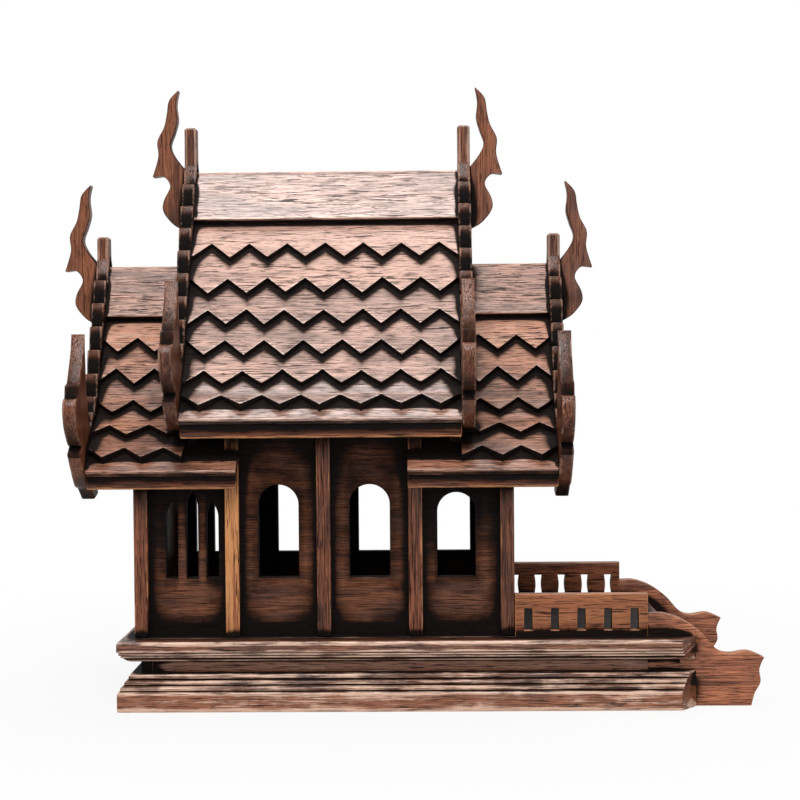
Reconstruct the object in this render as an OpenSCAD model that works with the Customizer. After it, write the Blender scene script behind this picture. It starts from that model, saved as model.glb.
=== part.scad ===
// Thai spirit house in stained wood: a stepped plinth with a porch and stair, a panelled hall with
// arched windows, and a three-part roof with zigzag shingle courses, toothed bargeboards and finials.
// X runs along the ridge with the stair at +X, Y runs across it, and Z is up from the ground.

/* [Base] */
// Distance from the middle of the hall to the rear end of the mouldings
base_rear = 131.5; // [125:0.5:150]
// Distance from the middle of the hall to the outer entry corner of the mouldings
base_entry = 227; // [215:1:260]
// Width of the base over the mouldings
base_w = 184; // [176:1:210]
// Height of the floor above the ground
base_h = 45; // [40:1:60]
// Thickness of the floor board
floor_t = 8; // [5:0.5:10]
// Thickness of the riser boards
riser_t = 7; // [4:0.5:10]
// How far the mouldings stand out from the risers
mold_proj = 13.5; // [9:0.5:18]
// Height of the lower moulding
lower_mold_h = 23.5; // [18:0.5:25]
// Height of the upper moulding
upper_mold_h = 14; // [10:0.5:15]
// How far the entry ends of the mouldings run out to the stair strings
mold_bevel = 11; // [4:0.5:20]

/* [Stair and porch rail] */
// How far the floor runs out past the porch rail
landing = 19.5; // [15:0.5:40]
// Height of the porch rail above the floor
rail_h = 27.5; // [20:0.5:40]
// Number of slots in each porch rail
rail_slots = 5; // [2:1:8]
// Width of a slot in the porch rail
rail_slot_w = 5.6; // [4.5:0.1:8]
// Height of a slot in the porch rail
rail_slot_h = 14; // [8:0.5:18]
// Height of the slots above the floor
rail_slot_sill = 4.5; // [3:0.5:8]
// How far the stair strings reach past the porch rail
string_reach = 74; // [66:0.5:90]
// Height of the stair strings above the floor at the porch rail
string_rise = 14.5; // [8:0.5:20]
// Number of treads
treads = 3; // [2:1:4]
// Thickness of a tread
tread_t = 6; // [4:0.5:8]
// Depth of a tread from front to back
tread_run = 14; // [10:0.5:16]

/* [Walls] */
// Width over the wall panels
wall_w = 140; // [120:1:146]
// Thickness of the wall panels
wall_t = 7; // [4:0.5:10]
// Distance between the centres of the posts
bay = 59; // [55:0.5:62]
// Width of a post
post_w = 9; // [6:0.5:12]
// How far the posts stand out from the panels
post_d = 6; // [3:0.5:8]
// Height of the window sills above the floor
sill_h = 38; // [20:1:45]
// Width of a hall window
hall_window_w = 26; // [16:0.5:36]
// Height of a hall window from sill to crown
hall_window_h = 60; // [45:1:64]
// Width of a porch window
porch_window_w = 24.5; // [16:0.5:34]
// Height of a porch window from sill to crown
porch_window_h = 54.5; // [40:1:56]
// Distance from the middle of the hall to the middle of the porch window and of the lancets
end_window_x = 85.5; // [83:0.5:90]
// Width of a lancet slot
lancet_w = 7.6; // [5:0.1:9]
// Distance between the middles of the lancets
lancet_pitch = 13.2; // [11:0.2:14]
// Height of the middle lancet from sill to point
lancet_h = 56; // [40:1:57]
// How much lower the outer lancets end
lancet_drop = 7; // [2:0.5:14]
// Width of the entrance doorway
door_w = 44; // [30:1:60]
// Height of the entrance doorway from the floor to its crown
door_h = 84; // [60:1:92]

/* [Main roof] */
// Height of the main roof deck at the ridge
main_apex = 346; // [330:1:370]
// Pitch of the steep part of the main roof
main_pitch = 61.5; // [58:0.5:68]
// Pitch of the flared eave of the main roof
main_flare = 38; // [32:0.5:44]
// Distance from the ridge plane to the main eave
main_eave_y = 98.5; // [95:0.5:110]
// Height of the main eave
main_eave_z = 187; // [182:0.5:195]
// Length of the main roof between its bargeboards
main_len = 178; // [172:1:190]
// Rows of shingles on each main slope
main_rows = 6; // [4:1:7]
// Distance down the main slope from the ridge to the first row of tips
main_first_row = 65; // [55:1:75]
// How the rows of the main roof spread towards the eave, below 1 where they draw closer
main_spread = 0.9; // [0.8:0.02:1.2]
// Height of the lower edge of the main eave beams
main_beam_z = 174.5; // [170:0.5:176]

/* [Lower roofs] */
// Height of the lower roof decks at the ridge
lower_apex = 282; // [270:1:290]
// Pitch of the steep part of the lower roofs
lower_pitch = 63.5; // [60:0.5:69]
// Pitch of the flared eave of the lower roofs
lower_flare = 36.5; // [30:0.5:42]
// Distance from the ridge plane to the lower eaves
lower_eave_y = 92; // [90:0.5:100]
// Height of the lower eaves
lower_eave_z = 154; // [150:0.5:158]
// Length of the lower roofs over both ends, between their bargeboards
lower_len = 300; // [280:1:320]
// Rows of shingles on each lower slope
lower_rows = 5; // [4:1:6]
// Distance down the lower slope from the ridge to the first row of tips
lower_first_row = 61.5; // [54:0.5:68]
// How the rows of the lower roofs spread towards the eave, below 1 where they draw closer
lower_spread = 0.98; // [0.8:0.02:1.2]
// Height of the lower edge of the lower eave beams
lower_beam_z = 142; // [138:0.5:144]

/* [Roof boards] */
// Thickness of the roof decks
deck_t = 5; // [4:0.5:8]
// Radius of the bend between the steep slope and the flare
knee_r = 50; // [40:1:60]
// Thickness of a shingle course at its tips
course_t = 6.5; // [3:0.5:8]
// Depth of the zigzag from tips to notches
zigzag_depth = 12; // [8:0.5:15]
// Width of one zigzag tooth
zigzag_w = 25.4; // [18:0.2:32]
// Plain strip of deck below the last row of tips
eave_strip = 6.5; // [5:0.5:12]
// Length of the ridge caps down the slope
cap_len = 34.5; // [28:0.5:40]
// Thickness of the ridge caps
cap_t = 6; // [4:0.5:8]
// Height of the flat ridge above the deck apex
ridge_rise = 6; // [4:0.5:9]
// Thickness of the eave beams
beam_t = 8; // [5:0.5:10]
// How far the eave beams stand back from the eave
beam_back = 4; // [2:0.5:8]
// Thickness of the gable panels
gable_t = 7; // [4:0.5:9]

/* [Bargeboards and finials] */
// Thickness of the bargeboards and tail finials
barge_t = 8.6; // [6:0.2:12]
// How far the bargeboards rise over the deck before the teeth
barge_up = 6; // [4:0.5:8]
// How far the bargeboards reach below the top of the deck
barge_down = 14; // [11:0.5:18]
// Height of the rounded teeth
tooth_h = 7.5; // [4:0.5:10]
// Distance between the teeth along the slope
tooth_pitch = 17.6; // [14:0.2:22]
// Height of the main spires above the deck apex
main_spire = 36.5; // [30:0.5:45]
// Height of the lower spires above the deck apex
lower_spire = 26.5; // [24:0.5:40]
// Thickness of the ridge finials
finial_t = 9; // [6:0.5:12]
// How far the beaks of the ridge finials stand out
beak_reach = 22; // [16:0.5:30]
// Height of the ridge finials from foot to tip
finial_h = 96; // [80:1:110]
// Depth of the finials' feet below the deck apex
finial_foot = 34; // [28:0.5:38]
// How far the tail finials stand out past the eaves
tail_reach = 24; // [16:0.5:32]
// Height of the tail finials above the eaves
tail_h = 87; // [70:1:100]
// How far the lower tail finials drop below the eaves
lower_tail_drop = 20; // [12:0.5:22]
// How far the main tail finials drop below the eaves
main_tail_drop = 13; // [10:0.5:18]
// Distance from the eave at which the bargeboards end, inside the tail finials
tail_seat = 12; // [8:0.5:16]

/* [Hidden] */

// Colours of the stained wood
roof_wood = "#9a6a52";
wall_wood = "#5a3020";
post_wood = "#7d4a28";
trim_wood = "#4a2a1e";
base_wood = "#6a3a26";

// Places shared by the pieces
neck_y = base_w / 2 - mold_proj;
neck_rear = base_rear - mold_proj;
rail_y = neck_y - riser_t;
wall_y = wall_w / 2;
post_y = wall_y + post_d;
house_end = 2 * bay + post_w / 2;
hall_end = bay + post_w / 2;
eave_inner = bay - post_w / 2;
main_end = main_len / 2;
lower_end = lower_len / 2;
main_face = main_end + barge_t;
lower_face = lower_end + barge_t;
rail_end = base_entry - landing;
tip_x = rail_end + string_reach;
origin_x = (tip_x - lower_face - beak_reach) / 2;
tall = 2 * main_apex;
lap = 1;
// Space left under the feet of the main tail finials
foot_gap = 0.4;
knee_steps = 8;
curve_steps = 6;
arch_steps = 16;

// A roof is [apex, pitch, eave distance, eave height, flare, rows, first row, spread, spire, tail drop]
MAIN = [main_apex, main_pitch, main_eave_y, main_eave_z, main_flare,
    main_rows, main_first_row, main_spread, main_spire, main_tail_drop];
LOWER = [lower_apex, lower_pitch, lower_eave_y, lower_eave_z, lower_flare,
    lower_rows, lower_first_row, lower_spread, lower_spire, lower_tail_drop];

// Directions down a slope of a given pitch and out of it
function down(a) = [cos(a), -sin(a)];
function out(a) = [sin(a), cos(a)];

// Corner where the steep slope and the flare would meet, and the arc that rounds it
function knee(roof) = let (y = (roof[0] - roof[3] - roof[2] * tan(roof[4]))
    / (tan(roof[1]) - tan(roof[4]))) [y, roof[0] - y * tan(roof[1])];
function knee_tangent(roof) = knee_r * tan((roof[1] - roof[4]) / 2);
function knee_start(roof) = norm(knee(roof) - [0, roof[0]]) - knee_tangent(roof);
function knee_end(roof) = knee_start(roof) + knee_r * (roof[1] - roof[4]) * PI / 180;
function slope_len(roof) = knee_end(roof)
    + norm([roof[2], roof[3]] - knee(roof)) - knee_tangent(roof);

// Point of the roof at distance s down the slope from the ridge and d out of the deck
function pitch_at(roof, s) = let (bend = (s - knee_start(roof)) / knee_r * 180 / PI)
    max(roof[4], min(roof[1], roof[1] - bend));
function deck_point(roof, s) = let (a = pitch_at(roof, s), k = knee(roof), t = knee_tangent(roof))
    s < knee_start(roof) ? [0, roof[0]] + s * down(roof[1])
    : s > knee_end(roof) ? k + (t + s - knee_end(roof)) * down(roof[4])
    : k - t * down(roof[1]) + knee_r * (out(roof[1]) - out(a));
function roof_point(roof, s, d) = deck_point(roof, s) + d * out(pitch_at(roof, s));
function stations(roof, s0, s1) = let (k0 = knee_start(roof), k1 = knee_end(roof))
    concat([s0], [for (i = [0:knee_steps]) let (s = k0 + (k1 - k0) * i / knee_steps)
        if (s > s0 + 0.01 && s < s1 - 0.01) s], [s1]);
function reversed(list) = [for (i = [len(list) - 1:-1:0]) list[i]];

// Distance down the slope at which a layer d out of the deck crosses the ridge plane
function ridge_s(roof, d) = -d * tan(roof[1]);
function layer(roof, s0, s1, d) = [for (s = stations(roof, s0, s1)) roof_point(roof, s, d)];
function row_tip(roof, k) = let (last = slope_len(roof) - eave_strip)
    roof[6] + (last - roof[6]) * pow(k / (roof[5] - 1), roof[7]);

// Smooth curve through hand-set points, with straight ends
function spline_point(a, b, c, d, t) = 0.5 * (2 * b + (c - a) * t
    + (2 * a - 5 * b + 4 * c - d) * t * t + (3 * b - a - 3 * c + d) * t * t * t);
function spline(p) = concat([for (i = [0:len(p) - 2], j = [0:curve_steps - 1])
    spline_point(p[max(i - 1, 0)], p[i], p[i + 1], p[min(i + 2, len(p) - 1)], j / curve_steps)],
    [p[len(p) - 1]]);

module house() {
    translate([-origin_x, 0, 0]) children();
}

// Carries an outline drawn in Y and Z from x0 to x1
module along_x(x0, x1) {
    translate([x0, 0, 0]) rotate([90, 0, 90]) linear_extrude(x1 - x0) children();
}

// Carries an outline drawn in X and Z from y0 to y1
module along_y(y0, y1) {
    translate([0, y1, 0]) rotate([90, 0, 0]) linear_extrude(y1 - y0) children();
}

// Shows a piece drawn on the back at the front, or one drawn at the entry at the rear
module side_y(s) {
    if (s > 0) children();
    else mirror([0, 1, 0]) children();
}

module side_x(s) {
    if (s > 0) children();
    else mirror([1, 0, 0]) children();
}

module block(x0, x1, y0, y1, z0, z1) {
    translate([x0, y0, z0]) cube([x1 - x0, y1 - y0, z1 - z0]);
}

// Base

module floor_board() {
    color(base_wood) house() union() {
        block(-neck_rear, rail_end, -neck_y, neck_y, base_h - floor_t, base_h);
        block(rail_end - lap, base_entry, -rail_y, rail_y, base_h - floor_t, base_h);
    }
}

module side_riser(s) {
    color(base_wood) house() side_y(s)
        block(riser_t - neck_rear, rail_end, rail_y, neck_y, 0, base_h - floor_t);
}

module rear_riser() {
    color(base_wood) house()
        block(-neck_rear, riser_t - neck_rear, -neck_y, neck_y, 0, base_h - floor_t);
}

module entry_riser() {
    color(base_wood) house()
        block(base_entry - riser_t, base_entry, -rail_y, rail_y, 0, base_h - floor_t);
}

// Half of a reeded moulding: steps that run out from the neck over its height, as shares of both
reed = [[0.42, 0], [0.42, 0.1], [0.6, 0.14], [0.6, 0.22], [0.76, 0.27], [0.76, 0.35],
    [0.88, 0.4], [0.88, 0.48], [0.97, 0.54], [1, 0.62], [1, 0.94], [0.94, 1]];

// Upper moulding, as distance out from the neck and height
function upper_profile() = concat([[0, base_h - upper_mold_h]],
    [for (p = reed) [p[0] * mold_proj, base_h + (p[1] - 1) * upper_mold_h]], [[0, base_h]]);
function lower_profile() = concat([[0, 0]],
    reversed([for (p = reed) [p[0] * mold_proj, (1 - p[1]) * lower_mold_h]]), [[0, lower_mold_h]]);

// Plan of a side moulding: mitred at the rear corner, run out to the string at the entry
module side_plan() {
    linear_extrude(base_h) polygon([[-neck_rear, neck_y], [-base_rear, base_w / 2],
        [base_entry, base_w / 2], [base_entry + mold_bevel, neck_y]]);
}

module side_molding(s, profile) {
    color(base_wood) house() side_y(s) intersection() {
        along_x(-base_rear, base_entry + mold_bevel)
            polygon([for (p = profile) [neck_y + p[0], p[1]]]);
        side_plan();
    }
}

module rear_molding(profile) {
    color(base_wood) house() intersection() {
        along_y(-base_w / 2, base_w / 2) polygon([for (p = profile) [-neck_rear - p[0], p[1]]]);
        linear_extrude(base_h) polygon([[-neck_rear, -neck_y], [-neck_rear, neck_y],
            [-base_rear, base_w / 2], [-base_rear, -base_w / 2]]);
    }
}

// Stair and porch rail

// Outline of a stair string: a swept top that ends in a curled tip, in shares of reach and rise
function string_top() = let (r = string_reach, f = base_h, h = string_rise)
    spline([[0, f + h], [0.14 * r, f + h], [0.3 * r, f + 0.72 * h], [0.46 * r, f + 0.14 * h],
        [0.59 * r, 0.81 * f], [0.7 * r, 0.75 * f], [0.86 * r, 0.78 * f], [r, 0.69 * f]]);
function string_front() = let (r = string_reach, f = base_h)
    spline([[r, 0.69 * f], [0.96 * r, 0.52 * f], [0.97 * r, 0.34 * f], [0.92 * r, 0.18 * f],
        [0.89 * r, 0]]);

module string(s) {
    color(base_wood) house() side_y(s) along_y(rail_y, neck_y) translate([rail_end, 0])
        polygon(concat([[0, 0]], string_top(), string_front()));
}

module stair_treads() {
    rise = base_h / (treads + 1);
    color(base_wood) house() for (i = [1:treads])
        block(base_entry + (i - 1) * tread_run, base_entry + i * tread_run,
            -rail_y, rail_y, base_h - i * rise - tread_t, base_h - i * rise);
}

// A slot with sides that pinch in at the middle
module rail_slot() {
    w = rail_slot_w / 2;
    h = rail_slot_h;
    side = spline([[w, 0], [0.72 * w, 0.5 * h], [w, h]]);
    polygon(concat(side, reversed([for (p = side) [-p[0], p[1]]])));
}

module porch_rail(s) {
    pitch = (rail_end - house_end) / rail_slots;
    color(post_wood) house() side_y(s) along_y(rail_y, neck_y) difference() {
        translate([house_end, base_h]) square([rail_end - house_end, rail_h]);
        for (i = [0:rail_slots - 1])
            translate([house_end + (i + 0.5) * pitch, base_h + rail_slot_sill]) rail_slot();
    }
}

// Walls

// Everything under a roof deck, between x0 and x1
module under_deck(roof, x0, x1) {
    under = layer(roof, ridge_s(roof, -deck_t), slope_len(roof), -deck_t);
    eave = under[len(under) - 1];
    half = concat(under, [[eave[0], 0]]);
    along_x(x0, x1) polygon(concat(half, reversed([for (p = half) [-p[0], p[1]]])));
}

// Round-headed opening of width w and height h, standing on the origin
module round_arch(w, h) {
    r = w / 2;
    polygon(concat([[-r, 0], [r, 0]],
        [for (i = [0:arch_steps]) [r * cos(180 * i / arch_steps), h - r + r * sin(180 * i / arch_steps)]]));
}

// Pointed slot of width w and height h whose head is two arcs of radius twice its width
module lancet(w, h) {
    r = 2 * w;
    head = r * sin(acos(1 - w / 2 / r));
    turn = acos(1 - w / 2 / r);
    side = [for (i = [0:curve_steps]) [w / 2 - r + r * cos(turn * i / curve_steps),
        h - head + r * sin(turn * i / curve_steps)]];
    polygon(concat([[w / 2, 0]], side, reversed([for (p = side) [-p[0], p[1]]]), [[-w / 2, 0]]));
}

// Cuts a window through a side wall, with its sill at the shared height
module window_at(x) {
    along_y(wall_y - wall_t - lap, wall_y + lap) translate([x, base_h + sill_h]) children();
}

module wall_hall(s) {
    color(wall_wood) house() side_y(s) difference() {
        intersection() {
            block(-hall_end, hall_end, wall_y - wall_t, wall_y, base_h, tall);
            under_deck(MAIN, -hall_end, hall_end);
        }
        for (x = [-bay / 2, bay / 2]) window_at(x) round_arch(hall_window_w, hall_window_h);
    }
}

module end_bay_panel(s) {
    side_x(s) intersection() {
        block(hall_end, house_end, wall_y - wall_t, wall_y, base_h, tall);
        under_deck(LOWER, hall_end, house_end);
    }
}

module wall_porch_bay(s) {
    color(wall_wood) house() side_y(s) difference() {
        end_bay_panel(1);
        window_at(end_window_x) round_arch(porch_window_w, porch_window_h);
    }
}

module wall_rear_bay(s) {
    color(wall_wood) house() side_y(s) difference() {
        end_bay_panel(-1);
        for (i = [-1:1])
            window_at(i * lancet_pitch - end_window_x) lancet(lancet_w, lancet_h - abs(i) * lancet_drop);
    }
}

module end_wall(s) {
    side_x(s) intersection() {
        block(house_end - wall_t, house_end, wall_t - wall_y, wall_y - wall_t, base_h, tall);
        under_deck(LOWER, house_end - wall_t, house_end);
    }
}

module rear_wall() {
    color(wall_wood) house() end_wall(-1);
}

module entrance_wall() {
    color(wall_wood) house() difference() {
        end_wall(1);
        along_x(house_end - wall_t - lap, house_end + lap) translate([0, base_h]) round_arch(door_w, door_h);
    }
}

module post(x, roof) {
    intersection() {
        block(x - post_w / 2, x + post_w / 2, wall_y, post_y, base_h, tall);
        under_deck(roof, x - post_w / 2, x + post_w / 2);
    }
}

module posts(s) {
    color(post_wood) house() side_y(s) {
        for (x = [-bay, 0, bay]) post(x, MAIN);
        for (x = [-2 * bay, 2 * bay]) post(x, LOWER);
    }
}

// Roofs

// One shingle course: a wedge that starts under the row above and thickens down the slope to a zigzag edge
module course(roof, x0, x1, k) {
    s1 = row_tip(roof, k);
    s0 = k == 0 ? cap_len : row_tip(roof, k - 1) - zigzag_depth - lap;
    s2 = s1 + lap;
    top = [for (s = stations(roof, s0, s2)) roof_point(roof, s, course_t * (s - s0) / (s1 - s0))];
    middle = s1 - zigzag_depth / 2;
    place = deck_point(roof, middle);
    halves = ceil(2 * (x1 - x0) / zigzag_w);
    edge = [for (i = [0:halves]) [x0 + i * zigzag_w / 2,
        ((i + k) % 2 == 0 ? 0.5 : -0.5) * zigzag_depth]];
    intersection() {
        along_x(x0, x1) polygon(concat(top, reversed(layer(roof, s0, s2, -deck_t / 2))));
        translate([0, place[0], place[1]]) rotate([-pitch_at(roof, middle), 0, 0])
            translate([0, 0, -deck_t]) linear_extrude(deck_t + 2 * course_t)
                polygon(concat(edge, [[edge[halves][0], s0 - s1 - deck_t], [x0, s0 - s1 - deck_t]]));
    }
}

module deck(roof, x0, x1) {
    s1 = slope_len(roof);
    along_x(x0, x1) polygon(concat(layer(roof, 0, s1, 0),
        reversed(layer(roof, ridge_s(roof, -deck_t), s1, -deck_t))));
}

module slope(roof, x0, x1, shingle_x0) {
    deck(roof, x0, x1);
    for (k = [0:roof[5] - 1]) course(roof, shingle_x0, x1, k);
}

module main_roof(s) {
    color(roof_wood) house() side_y(s) union() slope(MAIN, -main_end, main_end, -main_end);
}

// A lower slope runs in under the main roof, stops at the hall wall and passes the hall's corner post
module lower_roof(end, s) {
    color(roof_wood) house() side_y(s) side_x(end) difference() {
        union() slope(LOWER, eave_inner, lower_end, main_end);
        block(eave_inner - lap, hall_end, -lap, post_y, 0, tall);
    }
}

// Two boards that meet over the ridge, with the joint planed flat
module ridge_cap(roof, x0, x1) {
    outer = layer(roof, ridge_s(roof, cap_t), cap_len, cap_t);
    inner = layer(roof, 0, cap_len, 0);
    half = concat(outer, reversed(inner));
    color(roof_wood) house() intersection() {
        union() {
            along_x(x0, x1) polygon(half);
            mirror([0, 1, 0]) along_x(x0, x1) polygon(half);
        }
        block(x0, x1, -tall, tall, 0, roof[0] + ridge_rise);
    }
}

module eave_beams(roof, x0, x1, z0) {
    y1 = roof[2] - beam_back;
    for (s = [-1, 1]) side_y(s) intersection() {
        block(x0, x1, y1 - beam_t, y1, z0, tall);
        under_deck(roof, x0, x1);
    }
}

// Bargeboards and finials

// Teeth of the bargeboards: a steep shoulder above and a long bulge below, in shares of pitch and height
tooth_shape = [[0, 0], [0.03, 0.7], [0.12, 1], [0.35, 0.82], [0.6, 0.62], [0.82, 0.38], [0.95, 0.16]];
function tooth(roof, i, s0) = [for (p = tooth_shape)
    roof_point(roof, s0 + (i + p[0]) * tooth_pitch, barge_up + p[1] * tooth_h)];
function tooth_rows(roof, s0) = floor((slope_len(roof) - tail_seat - s0) / tooth_pitch);

// Half of a bargeboard, from the spire down the teeth and back along the lower edge
function barge_half(roof) = let (s0 = tooth_pitch / 2, end = slope_len(roof) - tail_seat,
    n = tooth_rows(roof, s0), top = roof[0] + roof[8], half_w = barge_t / 2)
    concat([[0, top], [0.4 * half_w, top - 0.1 * half_w], [0.8 * half_w, top - half_w]],
        [roof_point(roof, 0, barge_up) + [0, 0.6 * barge_up]],
        [for (i = [0:n - 1]) each tooth(roof, i, s0)],
        layer(roof, s0 + n * tooth_pitch + 0.1, end, barge_up),
        reversed(layer(roof, ridge_s(roof, -barge_down), end, -barge_down)));

// Outline of a tail finial, as distance past the eave and height over it
function tail_outline(d) = let (r = tail_reach, h = tail_h)
    concat(spline([[-0.26 * r, h], [-0.1 * r, 0.88 * h], [0.2 * r, 0.74 * h], [0.42 * r, 0.64 * h]]),
        spline([[0.67 * r, 0.625 * h], [0.72 * r, 0.54 * h]]),
        spline([[0.92 * r, 0.525 * h], [r, 0.455 * h], [0.87 * r, 0.33 * h], [0.5 * r, 0.215 * h],
            [0.42 * r, 0.185 * h]]),
        spline([[0.5 * r, 0.13 * h], [0.17 * r, 0.02 * h], [-0.3 * r, -0.48 * d], [-0.7 * r, -0.62 * d],
            [-1.2 * r, -d]]),
        spline([[-1.75 * r, -0.84 * d], [-1.5 * r, -0.2 * d], [-1.15 * r, 0.1 * h], [-0.72 * r, 0.37 * h],
            [-0.42 * r, 0.6 * h], [-0.36 * r, 0.8 * h], [-0.26 * r, h]]));

module tail_finial(roof, x0, x1) {
    along_x(x0, x1) translate([roof[2], roof[3]]) polygon(tail_outline(roof[9]));
}

module bargeboard(roof, end, x0) {
    half = barge_half(roof);
    color(trim_wood) house() side_x(end) difference() {
        along_x(x0, x0 + barge_t) polygon(concat(half, reversed([for (p = half) [-p[0], p[1]]])));
        for (s = [-1, 1]) side_y(s) tail_finial(roof, x0 - lap, x0 + barge_t + lap);
    }
}

module lower_tail_finials(end) {
    color(trim_wood) house() side_x(end) for (s = [-1, 1]) side_y(s)
        tail_finial(LOWER, lower_end, lower_end + barge_t);
}

// The main tail finials are cut at the foot to stand clear of the shingles of the lower roofs
module main_tail_finials(end) {
    over = layer(LOWER, 0, slope_len(LOWER), course_t + foot_gap);
    color(trim_wood) house() side_x(end) for (s = [-1, 1]) side_y(s) difference() {
        tail_finial(MAIN, main_end, main_end + barge_t);
        along_x(main_end - lap, main_end + barge_t + lap)
            polygon(concat(over, [[over[len(over) - 1][0], 0], [over[0][0], 0]]));
    }
}

// Ridge finial: a rearing bird's neck and beak, with its foot on the face of the bargeboard
function finial_outline() = let (r = beak_reach, h = finial_h)
    concat(spline([[0.17 * r, h], [0.46 * r, 0.93 * h], [0.54 * r, 0.83 * h], [0.63 * r, 0.74 * h],
            [0.84 * r, 0.64 * h], [0.82 * r, 0.53 * h], [r, 0.39 * h]]),
        spline([[0.98 * r, 0.385 * h], [0.66 * r, 0.39 * h], [0.46 * r, 0.32 * h], [0.66 * r, 0.22 * h],
            [0.68 * r, 0.14 * h], [0.38 * r, 0.05 * h], [0, 0]]),
        spline([[0, 0.44 * h], [0.3 * r, 0.53 * h], [0.43 * r, 0.61 * h], [0.3 * r, 0.7 * h],
            [0.2 * r, 0.79 * h], [0.24 * r, 0.9 * h], [0.17 * r, h]]));

module chofa(roof, end, face) {
    color(trim_wood) house() side_x(end) along_y(-finial_t / 2, finial_t / 2)
        translate([face, roof[0] - finial_foot]) polygon(finial_outline());
}

// Panel behind a lower bargeboard, from the deck down to the eave beams
module end_gable(end) {
    y1 = lower_eave_y - beam_back - beam_t;
    color(wall_wood) house() side_x(end) intersection() {
        block(lower_end - gable_t, lower_end, -y1, y1, lower_beam_z, tall);
        under_deck(LOWER, lower_end - gable_t, lower_end);
    }
}

// Panel behind a main bargeboard, from the main deck down to the lower roof
module main_gable(end) {
    over = layer(LOWER, 0, slope_len(LOWER), 0);
    half = concat(over, [[lower_eave_y, 0], [0, 0]]);
    color(wall_wood) house() side_x(end) difference() {
        intersection() {
            block(main_end - gable_t, main_end, -wall_y, wall_y, lower_eave_z, tall);
            under_deck(MAIN, main_end - gable_t, main_end);
        }
        for (s = [-1, 1]) side_y(s) along_x(main_end - gable_t - lap, main_end + lap) polygon(half);
    }
}

module lower_eave_beams(end) {
    color(post_wood) house() side_x(end) eave_beams(LOWER, eave_inner, lower_end, lower_beam_z);
}

module main_eave_beams() {
    color(post_wood) house() eave_beams(MAIN, -main_end, main_end, main_beam_z);
}

floor_board();
side_riser(-1);  // front_riser
side_riser(1);  // back_riser
rear_riser();
entry_riser();
side_molding(-1, upper_profile());  // upper_molding_front
side_molding(1, upper_profile());  // upper_molding_back
rear_molding(upper_profile());  // upper_molding_rear
side_molding(-1, lower_profile());  // lower_molding_front
side_molding(1, lower_profile());  // lower_molding_back
rear_molding(lower_profile());  // lower_molding_rear
string(-1);  // front_string
string(1);  // back_string
stair_treads();
porch_rail(-1);  // front_porch_rail
porch_rail(1);  // back_porch_rail
wall_rear_bay(-1);  // front_wall_rear_bay
wall_hall(-1);  // front_wall_hall
wall_porch_bay(-1);  // front_wall_porch_bay
wall_rear_bay(1);  // back_wall_rear_bay
wall_hall(1);  // back_wall_hall
wall_porch_bay(1);  // back_wall_porch_bay
rear_wall();
entrance_wall();
posts(-1);  // front_posts
posts(1);  // back_posts
main_roof(-1);  // main_roof_front
main_roof(1);  // main_roof_back
ridge_cap(MAIN, -main_end, main_end);  // main_ridge_cap
main_eave_beams();
lower_roof(-1, -1);  // rear_roof_front
lower_roof(-1, 1);  // rear_roof_back
ridge_cap(LOWER, -lower_end, -main_end);  // rear_ridge_cap
lower_eave_beams(-1);  // rear_eave_beams
lower_roof(1, -1);  // porch_roof_front
lower_roof(1, 1);  // porch_roof_back
ridge_cap(LOWER, main_end, lower_end);  // porch_ridge_cap
lower_eave_beams(1);  // porch_eave_beams
bargeboard(MAIN, -1, main_end);  // main_rear_bargeboard
bargeboard(MAIN, 1, main_end);  // main_porch_bargeboard
bargeboard(LOWER, -1, lower_end);  // rear_bargeboard
bargeboard(LOWER, 1, lower_end);  // porch_bargeboard
main_gable(-1);  // main_rear_gable
main_gable(1);  // main_porch_gable
end_gable(-1);  // rear_gable
end_gable(1);  // porch_gable
chofa(MAIN, -1, main_face);  // main_rear_chofa
chofa(MAIN, 1, main_face);  // main_porch_chofa
chofa(LOWER, -1, lower_face);  // rear_chofa
chofa(LOWER, 1, lower_face);  // porch_chofa
main_tail_finials(-1);  // main_rear_tail_finials
main_tail_finials(1);  // main_porch_tail_finials
lower_tail_finials(-1);  // rear_tail_finials
lower_tail_finials(1);  // porch_tail_finials
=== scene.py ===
# %% [markdown]
# # A Thai spirit house in antiqued wood
#
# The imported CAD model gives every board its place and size. This lesson dresses each board: hand-cut edges,
# courses of zigzag shingles, reeded mouldings, and a dark stain that looks rubbed back until the edges went pale.
# Shapes are worked out in millimetres, with the middle of the hall at x = 0, and turned to metres at the end.

# %% Load the frame and keep the CAD box
import math

import bpy
import numpy as np
from mathutils import Matrix, Vector


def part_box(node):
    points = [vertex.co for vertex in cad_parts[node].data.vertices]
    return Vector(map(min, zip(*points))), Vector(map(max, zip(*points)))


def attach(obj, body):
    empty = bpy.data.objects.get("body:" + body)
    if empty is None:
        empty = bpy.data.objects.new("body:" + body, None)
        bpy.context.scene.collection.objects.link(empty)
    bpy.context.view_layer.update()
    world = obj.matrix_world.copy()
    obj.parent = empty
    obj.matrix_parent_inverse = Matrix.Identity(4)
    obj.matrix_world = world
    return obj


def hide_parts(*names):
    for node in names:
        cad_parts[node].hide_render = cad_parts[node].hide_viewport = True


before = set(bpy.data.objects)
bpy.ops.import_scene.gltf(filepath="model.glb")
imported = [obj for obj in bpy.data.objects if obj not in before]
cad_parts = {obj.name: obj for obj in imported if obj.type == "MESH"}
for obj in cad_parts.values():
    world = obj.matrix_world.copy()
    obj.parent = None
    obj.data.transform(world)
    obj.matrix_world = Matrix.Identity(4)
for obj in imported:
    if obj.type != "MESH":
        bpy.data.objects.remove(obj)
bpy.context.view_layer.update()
MM = 0.001


def node_box(node):
    """The lowest and highest corner of a CAD node, in millimetres."""
    return tuple(np.array(corner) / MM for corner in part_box(node))


HALL_X = float(np.mean([corner[0] for corner in node_box("main_roof_front")]))

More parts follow.
